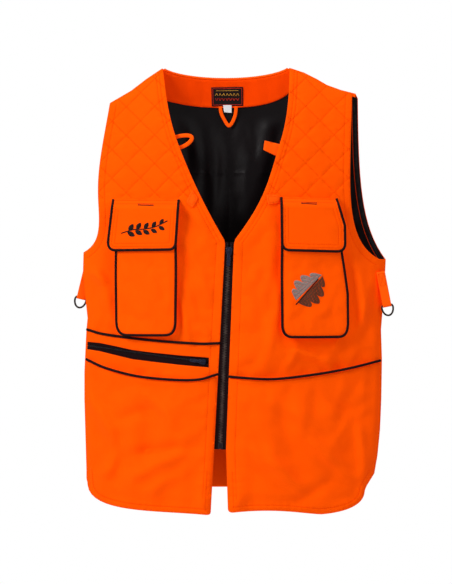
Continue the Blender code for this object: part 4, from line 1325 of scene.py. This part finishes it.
def axes_at(point, along):
    """Across, along and out of the cloth at a point of the front, as rows."""
    along = np.array(along, float) / np.linalg.norm(along)
    level = np.array((-along[1], along[0]))
    ahead = spot(*(point + along * 4)) - spot(*(point - along * 4))
    over = spot(*(point + level * 4)) - spot(*(point - level * 4))
    ahead /= np.linalg.norm(ahead)
    out = np.cross(ahead, over)
    out /= np.linalg.norm(out)
    out = out if out[1] < 0 else -out
    return np.array((np.cross(ahead, out), ahead, out))


def studs(name, flat, axes, half, look, low=-1.9, high=0.25):
    """Many small moulded teeth: each a block with chamfered top edges. half is across and along."""
    places = on_lens(-1, flat, 0.0)
    shape = []
    for level, share in ((low, 1.0), (high - 0.5, 1.0), (high, 0.72)):
        shape += [(i * half[0] * share, j * half[1] * share, level) for i, j in SQUARE]
    points = places[:, None, :] + np.einsum("kc,ncd->nkd", np.array(shape), axes)
    one = [(3, 2, 1, 0), (8, 9, 10, 11)]
    one += [(r + j, r + (j + 1) % 4, r + 4 + (j + 1) % 4, r + 4 + j) for r in (0, 4) for j in range(4)]
    faces = [tuple(12 * n + v for v in face) for n in range(len(places)) for face in one]
    made = add(name, points.reshape(-1, 3), faces, look)
    made.data.polygons.foreach_set("use_smooth", np.zeros(len(made.data.polygons), bool))
    return made


def plate(name, outline, place, axes, out, thickness=1.1, holes=()):
    """A flat moulded or stamped plate in the axes of a slider."""
    flat, triangles = fill(spaced(outline, 0.8, True), 1.1, (), holes)
    middle = place + flat @ axes[:2] + out * axes[2]
    return wrap(name, flat, triangles, middle, thickness, SLIDER_LOOK)


def ring_of(centre, across, along, count=18):
    angle = np.arange(count) * 2 * math.pi / count
    return np.array(centre) + np.stack([across * np.cos(angle), along * np.sin(angle)], axis=1)


def make_slider(name, line, down, scale, pull_length):
    """A cast slider with shoulders and side lips, its bridge, and a pull with a rounded end and a hole."""
    point = zip_point(line, down)
    axes = axes_at(point, heading(line)[1])
    place = spot(*point)
    plan = [(-3, -6), (3, -6), (5, -4.2), (5, -0.5), (4, 5.4), (3.4, 6)]
    plan += [(-3.4, 6), (-4, 5.4), (-5, -0.5), (-5, -4.2)]
    plan = [(x * scale, y * scale) for x, y in plan]
    ride(plate(f"{name}_front", plan, place, axes, 1.0), name, name)
    ride(plate(f"{name}_rear", plan, place, axes, -2.9), name)
    ride(plate(f"{name}_post", ring_of((0, -4.4 * scale), 0.9, 1.2), place, axes, -0.8, 4.0), name)
    bridge = [(0, y * scale, out) for y, out in ((-4.3, 1.6), (-4.1, 3.4), (-3, 4.4), (0, 4.75), (3, 4.4))]
    bridge += [(0, y * scale, out) for y, out in ((4.1, 3.4), (4.3, 1.6))]
    arch = place + smooth_run(bridge, 0.5) @ axes
    ride(tube(f"{name}_bridge", arch, 0.85, SLIDER_LOOK, up=axes[0], flat=0.9), name)
    for letter, side in (("a", -1), ("b", 1)):
        lip = [(side * 4.7 * scale, -4.6 * scale, 0.9), (side * 4.8 * scale, -1, 0.9)]
        lip.append((side * 3.8 * scale, 5.4 * scale, 0.9))
        edge = place + smooth_run(lip, 0.6) @ axes
        ride(tube(f"{name}_lip_{letter}", edge, 0.55, SLIDER_LOOK, up=axes[2]), name)
    make_pull(name.replace("slider", "pull"), place, axes, pull_length)


def make_pull(name, place, axes, length):
    """A pull that lies over its slider: a slotted eye, a grip with ridges, and a rounded end with a hole."""
    right = [(2.2, 5.0), (2.1, 9.0), (2.6, 12.5)]
    right += [(2.6, length - 4.0), (1.8, length - 1.4), (0.8, length - 0.6)]
    tab = [(-1.9, -1.0), (1.9, -1.0), *right, *((-x, y) for x, y in reversed(right))]
    holes = [ring_of((0, 2.8), 1.15, 2.7), ring_of((0, length - 5.2), 1.2, 1.9)]
    ride(plate(f"{name}_tab", tab, place, axes, PULL_OUT, holes=holes), name, name)
    levels = [length - 14.5 + k * 1.7 for k in range(4)]
    starts, ends = (place + np.array([(x, y, PULL_OUT + 0.6) for y in levels]) @ axes for x in (-2.3, 2.3))
    ride(capsules(f"{name}_grip", starts, ends, np.tile(axes[2], (4, 1)), 0.42, SLIDER_LOOK), name)


def zip_tape(name, node, side, line, last, edges, out):
    """One of a zip's two tapes, down to last and between two edges across it."""
    start, end = zip_point(line, TAPE_START), zip_point(line, last)
    along = (end - start) / np.linalg.norm(end - start)
    near, far = (edge * np.array((-along[1], along[0])) for edge in edges)
    outline = spaced([start + near, end + near, end + far, start + far], 3.0, True)
    cut = {"thickness": 0.9, "step": 3.5, "look": "zip_tape"}
    sew(name, outline, -1, out, f"{side}_front", node, [f"{side}_shell"], "stretched", **cut)


def axes_along(flat, direction):
    return np.stack([axes_at(point, direction) for point in flat])


def make_main_zip():
    """Moulded teeth that mesh, on two tapes with stops at the top and a box at the foot."""
    length, direction = heading(MAIN_ZIP)
    for side, sign in SIDES:
        front = f"{side}_front"
        edges = (sign * 1.4, sign * 16.0)
        zip_tape(f"{side}_zip_ribbon", f"{side}_zip_tape", side, MAIN_ZIP, length, edges, -1.05)
        down = np.arange(12.5 + (TOOTH_PITCH / 2 if sign > 0 else 0), length - 10, TOOTH_PITCH)
        flat = zip_point(MAIN_ZIP, down, np.full(len(down), sign * 0.95))
        axes = axes_along(flat, direction)
        # The teeth's lighter brown look is partly a painted highlight.
        teeth = studs(f"{side}_zip_teeth_row", flat, axes, (2.5, 1.0), "zip_teeth")
        ride(teeth, front, f"{side}_zip_teeth")
        flat = zip_point(MAIN_ZIP, down, np.full(len(down), sign * 3.1))
        ride(studs(f"{side}_zip_tooth_feet", flat, axes, (0.9, 1.25), "zip_plastic", high=-0.1), front)
        flat = zip_point(MAIN_ZIP, np.array([1.0, 4.2]), np.full(2, sign * 3.2))
        axes = axes_along(flat, direction)
        ride(studs(f"{side}_zip_stop", flat, axes, (1.5, 1.35), "zip_plastic", high=0.6), front)
    make_slider("zip_slider", MAIN_ZIP, SLIDER_AT, 1.0, 27.0)
    flat = zip_point(MAIN_ZIP, np.array([length - 5.5]), np.array([0.2]))
    box = studs("zip_retainer", flat, axes_along(flat, direction), (4.2, 5.0), "zip_plastic", -3.4, 1.3)
    ride(box, "left_front", "retainer_box")


def make_pocket_zip():
    """The slanted zip: coils of plastic wire on two tapes, in a slot that gapes a little."""
    length, _ = heading(POCKET_ZIP)
    for name, sign in (("upper", -1), ("lower", 1)):
        label, edges = f"pocket_zip_{name}", (sign * 1.2, sign * 13.5)
        zip_tape(f"{label}_ribbon", f"{label}_tape", "right", POCKET_ZIP, length + 9.5, edges, -1.3)
        down = np.arange(8.0, length + 8, 0.22)
        turn = 2 * math.pi * down / COIL_PITCH + (0 if sign < 0 else math.pi)
        flat = zip_point(POCKET_ZIP, down, sign * (0.9 + 1.5 * np.cos(turn)))
        route = on_lens(-1, flat, -0.75 + 0.75 * np.sin(turn))
        ride(tube(f"{label}_coil", route, 0.34, "zip_plastic", sides=6), "right_front")
    make_slider("pocket_zip_slider", POCKET_ZIP, POCKET_SLIDER_AT, 0.85, 22.0)


# ---------------------------------------------------------------- straps, rings and loops


def make_side_strap(side):
    """A folded tape on the side seam, sewn in a box, with a D-ring of dark wire in its fold."""
    top, bottom = (np.array(p) for p in STRAPS[side])
    down = (bottom - top) / np.linalg.norm(bottom - top)
    wide = np.cross(down, (0, 1, 0))
    wide /= np.linalg.norm(wide)
    out = np.cross(wide, down)
    out = out if out[1] < 0 else -out
    fold = RING_WIRE + 0.9
    path = [bottom + fold * (math.cos(a) * out + math.sin(a) * down) for a in np.linspace(0, math.pi, 13)]
    back_leg = [path[-1] + (top - 1.0 * out - path[-1]) * k / 12 for k in range(1, 13)]
    front_leg = [top + 1.0 * out + (path[0] - top - 1.0 * out) * k / 12 for k in range(12)]
    loop = np.array([*path, *back_leg, *front_leg])
    across = np.linspace(-STRAP_WIDTH / 2, STRAP_WIDTH / 2, 7)
    points = loop[:, None, :] + across[None, :, None] * wide
    body = "root" if side == "right" else "left_front"
    tape = net(f"{side}_strap_tape", points, 1.1, "orange_tape", closed=True)
    ride(tape, body, f"{side}_side_strap")
    level, fall = wide[[0, 2]], down[[0, 2]]
    reach = STRAP_WIDTH / 2 - 2.2
    corners = ((3, -1), (3, 1), (24, 1), (24, -1), (3, -1))
    box = [top[[0, 2]] + fall * a + level * b * reach for a, b in corners]
    rows = [spaced(box, 1.0), box[0:3:2], box[1:4:2]]
    ride(stitch(f"{side}_strap_stitching", rows, [f"{side}_strap_tape"], **SMALL_STITCH), body)
    half = STRAP_WIDTH / 2 + 2.6
    ring = [bottom + half * wide * k for k in np.linspace(-0.86, 0.86, 13)]
    for a in np.linspace(-0.06, math.pi + 0.06, 33):
        ring.append(bottom + half * math.cos(a) * wide + (4.0 + 13.5 * math.sin(a)) * down)
    route = even([*ring, ring[0]], 1.0)[:-1]
    wire = tube(f"{side}_ring_wire", route, RING_WIRE, "dark_metal", up=out, closed=True)
    ride(wire, f"{side}_d_ring", f"{side}_d_ring")


def make_side_join(side, sign):
    """The seam itself, a narrow strip that runs from the back at one edge to the front at the other."""
    run = spaced(SIDE_LINES[side], 3.0)
    columns = []
    for share in np.linspace(-1, 1, 9):
        bulge = 0.4 * math.cos(share * math.pi / 2) - 0.5
        flat = run + (sign * bulge, 0)
        columns.append(np.insert(flat, 1, -share * 1.2, axis=1))
    join = net(f"{side}_side_join", np.stack(columns, axis=1), 0.8)
    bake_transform(join)


def make_loops():
    """The hanger loop, the two loops inside the V, and the two tabs on the chest."""
    route = smooth_run([(-10, -64), (-8, -76), (-1, -90), (5, -97), (11, -91), (16, -78), (17.5, -64)], 1.0)
    places = on_lens(1, route, HANGER_OUT)
    loop = tube("hanger_loop_tape", places, 3.0, "orange_tape", flat=0.3, rib=(0.03, 3.0, 0.0))
    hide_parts("hanger_loop")
    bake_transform(loop)
    teardrop = [(-93, -121), (-76, -117), (-62, -117), (-58, -122), (-64, -130), (-75, -136), (-90, -140)]
    places = on_lens(-1, smooth_run(teardrop, 1.0), NECK_LOOP_OUT)
    bend(tube("right_neck_loop_tape", places, 3.4, "orange_tape", flat=0.35), "right", "right_neck_loop")
    outline = spaced(((66, -126), (100, -134), (94, -155), (64, -141)), 2, True)

    def wavy(flat):
        return NECK_LOOP_OUT + 0.2 + 0.8 * np.cos((flat[:, 0] - 64) / 5)

    piece = cloth("left_neck_loop_tape", outline, -1, wavy, 1.6, 2.5, look="orange_tape")
    bend(piece, "left", "left_neck_loop")
    weave(outline, ["left_shell"])
    tabs = {
        "right": [(-57, -210), (-48, -224), (-57, -239), (-67, -230)],
        "left": [(69, -218), (86, -218.5), (91, -224), (88, -231), (72, -234)],
    }
    for side, corners in tabs.items():
        outline = spaced(corners, 2, True)
        run = offset_in(outline, 2.0)
        lines = [np.concatenate([run, run[:1]])]
        hit, _ = on_cloth(outline, [f"{side}_shell"])
        stands = -hit[:, 1] - depth(*outline.T, FRONT_DEPTH)

        def out(flat, base=float(np.nanmax(stands)), lines=lines):
            return base + 1.1 + sewn(flat, lines, 0.6, 1.2, 0.0)

        name, front = f"{side}_chest_patch", f"{side}_front"
        cut = {"thickness": 2.0, "step": 2.2, "lines": lines, "look": "orange_tape"}
        sew(name, outline, -1, out, front, f"{side}_chest_tab", [f"{side}_shell"], "laid", **cut)
        ride(stitch(f"{name}_stitching", lines, [name], **SMALL_STITCH), front)


def make_bindings():
    """A dark ribbed binding round the back's armhole edges."""
    outline = trace(BACK, step=1.0)
    for side, sign in SIDES:
        top, bottom, set_in = (-46, -326, 3.0) if side == "left" else (-85, -292, 3.5)
        near = outline[(outline[:, 0] * sign > 150) & (outline[:, 1] < top) & (outline[:, 1] > bottom)]
        near = inset_run(near[np.argsort(-near[:, 1])], outline, set_in)
        route = on_lens(1, near, -0.6)
        binding = tube(f"{side}_armhole_binding", route, 2.7, "dark_piping", rib=(0.08, 3.4, 2.4), flat=0.9)
        ride(binding, "root")
        row = inset_run(near, outline, 7.0)
        inner_stitch(f"{side}_binding_stitching", [row], 3.2, -5.0, "orange_thread", radius=0.5)


# ---------------------------------------------------------------- the camera, lights and floor


def make_stage():
    scene = bpy.context.scene
    scene.view_settings.view_transform = "Standard"
    world = bpy.data.worlds.new("studio")
    world.use_nodes = True
    scene.world = world
    nodes, links = world.node_tree.nodes, world.node_tree.links
    seen = nodes["Background"]
    seen.inputs["Color"].default_value = (1, 1, 1, 1)
    seen.inputs["Strength"].default_value = 1.0
    light = nodes.new("ShaderNodeBackground")
    light.inputs["Color"].default_value = (1, 1, 1, 1)
    light.inputs["Strength"].default_value = 0.13
    path = nodes.new("ShaderNodeLightPath")
    mixed = nodes.new("ShaderNodeMixShader")
    links.new(path.outputs["Is Camera Ray"], mixed.inputs[0])
    links.new(light.outputs[0], mixed.inputs[1])
    links.new(seen.outputs[0], mixed.inputs[2])
    links.new(mixed.outputs[0], nodes["World Output"].inputs[0])

    mesh = bpy.data.meshes.new("floor")
    size, height = 2.6, -1.25
    mesh.from_pydata([(x * size, y * size, height) for x, y in SQUARE], [], [(0, 1, 2, 3)])
    floor = bpy.data.objects.new("floor", mesh)
    scene.collection.objects.link(floor)
    pale = bpy.data.materials.new("pale_floor")
    pale.use_nodes = True
    pale.node_tree.nodes["Principled BSDF"].inputs["Base Color"].default_value = (0.86, 0.86, 0.86, 1)
    pale.node_tree.nodes["Principled BSDF"].inputs["Roughness"].default_value = 0.9
    mesh.materials.append(pale)

    for name, place, size, power in (
        ("key", (-2.4, -1.9, 1.2), 1.3, 86.0),
        ("fill", (1.8, -2.6, 0.2), 1.4, 17.0),
        ("top", (0.5, -0.8, 2.2), 0.7, 26.0),
        ("rear", (0.6, 2.4, 1.2), 1.6, 44.0),
    ):
        lamp = bpy.data.lights.new(name, "AREA")
        lamp.size = size
        lamp.energy = power
        obj = bpy.data.objects.new(name, lamp)
        obj.location = place
        aim = Vector((0.01, 0.0, -0.38)) - Vector(place)
        obj.rotation_euler = aim.to_track_quat("-Z", "Y").to_euler()
        scene.collection.objects.link(obj)

    camera = bpy.data.cameras.new("camera")
    camera.sensor_width = 36.0
    away, tall = 6.0, 0.9928
    camera.lens = camera.sensor_width * away / tall
    camera.clip_end = 50.0
    obj = bpy.data.objects.new("camera", camera)
    obj.location = (0.0, -away - 0.03, -0.38250)
    obj.rotation_euler = (math.radians(90), 0, 0)
    scene.collection.objects.link(obj)
    scene.camera = obj


def dress_cad():
    """CAD nodes that still show get a procedural material too."""
    looks = {
        "zip_slider": "slider_enamel",
        "zip_pull": "slider_enamel",
        "pocket_zip_slider": "slider_enamel",
        "pocket_zip_pull": "slider_enamel",
    }
    for name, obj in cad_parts.items():
        if "lining" in name or "bag" in name:
            look = "black_bag"
        elif "tape" in name:
            look = "zip_tape"
        elif "strip" in name:
            look = "hook_and_loop"
        elif "teeth" in name or "retainer" in name:
            look = "zip_plastic"
        elif "d_ring" in name:
            look = "dark_metal"
        else:
            look = looks.get(name, "orange_seam")
        obj.data.materials.clear()
        obj.data.materials.append(LOOKS[look])


def main():
    make_stage()
    dress_cad()
    for side, _ in SIDES:
        make_front_shell(side)
        make_front_lining(side)
        make_skirt(side)
        make_chest_pocket(side)
        make_flap(side)
    make_waist_piping()
    make_back()
    make_neck()
    make_main_zip()
    make_pocket_zip()
    make_bindings()
    make_loops()
    make_embroidery()
    for side, sign in SIDES:
        make_side_strap(side)
        make_side_join(side, sign)


main()
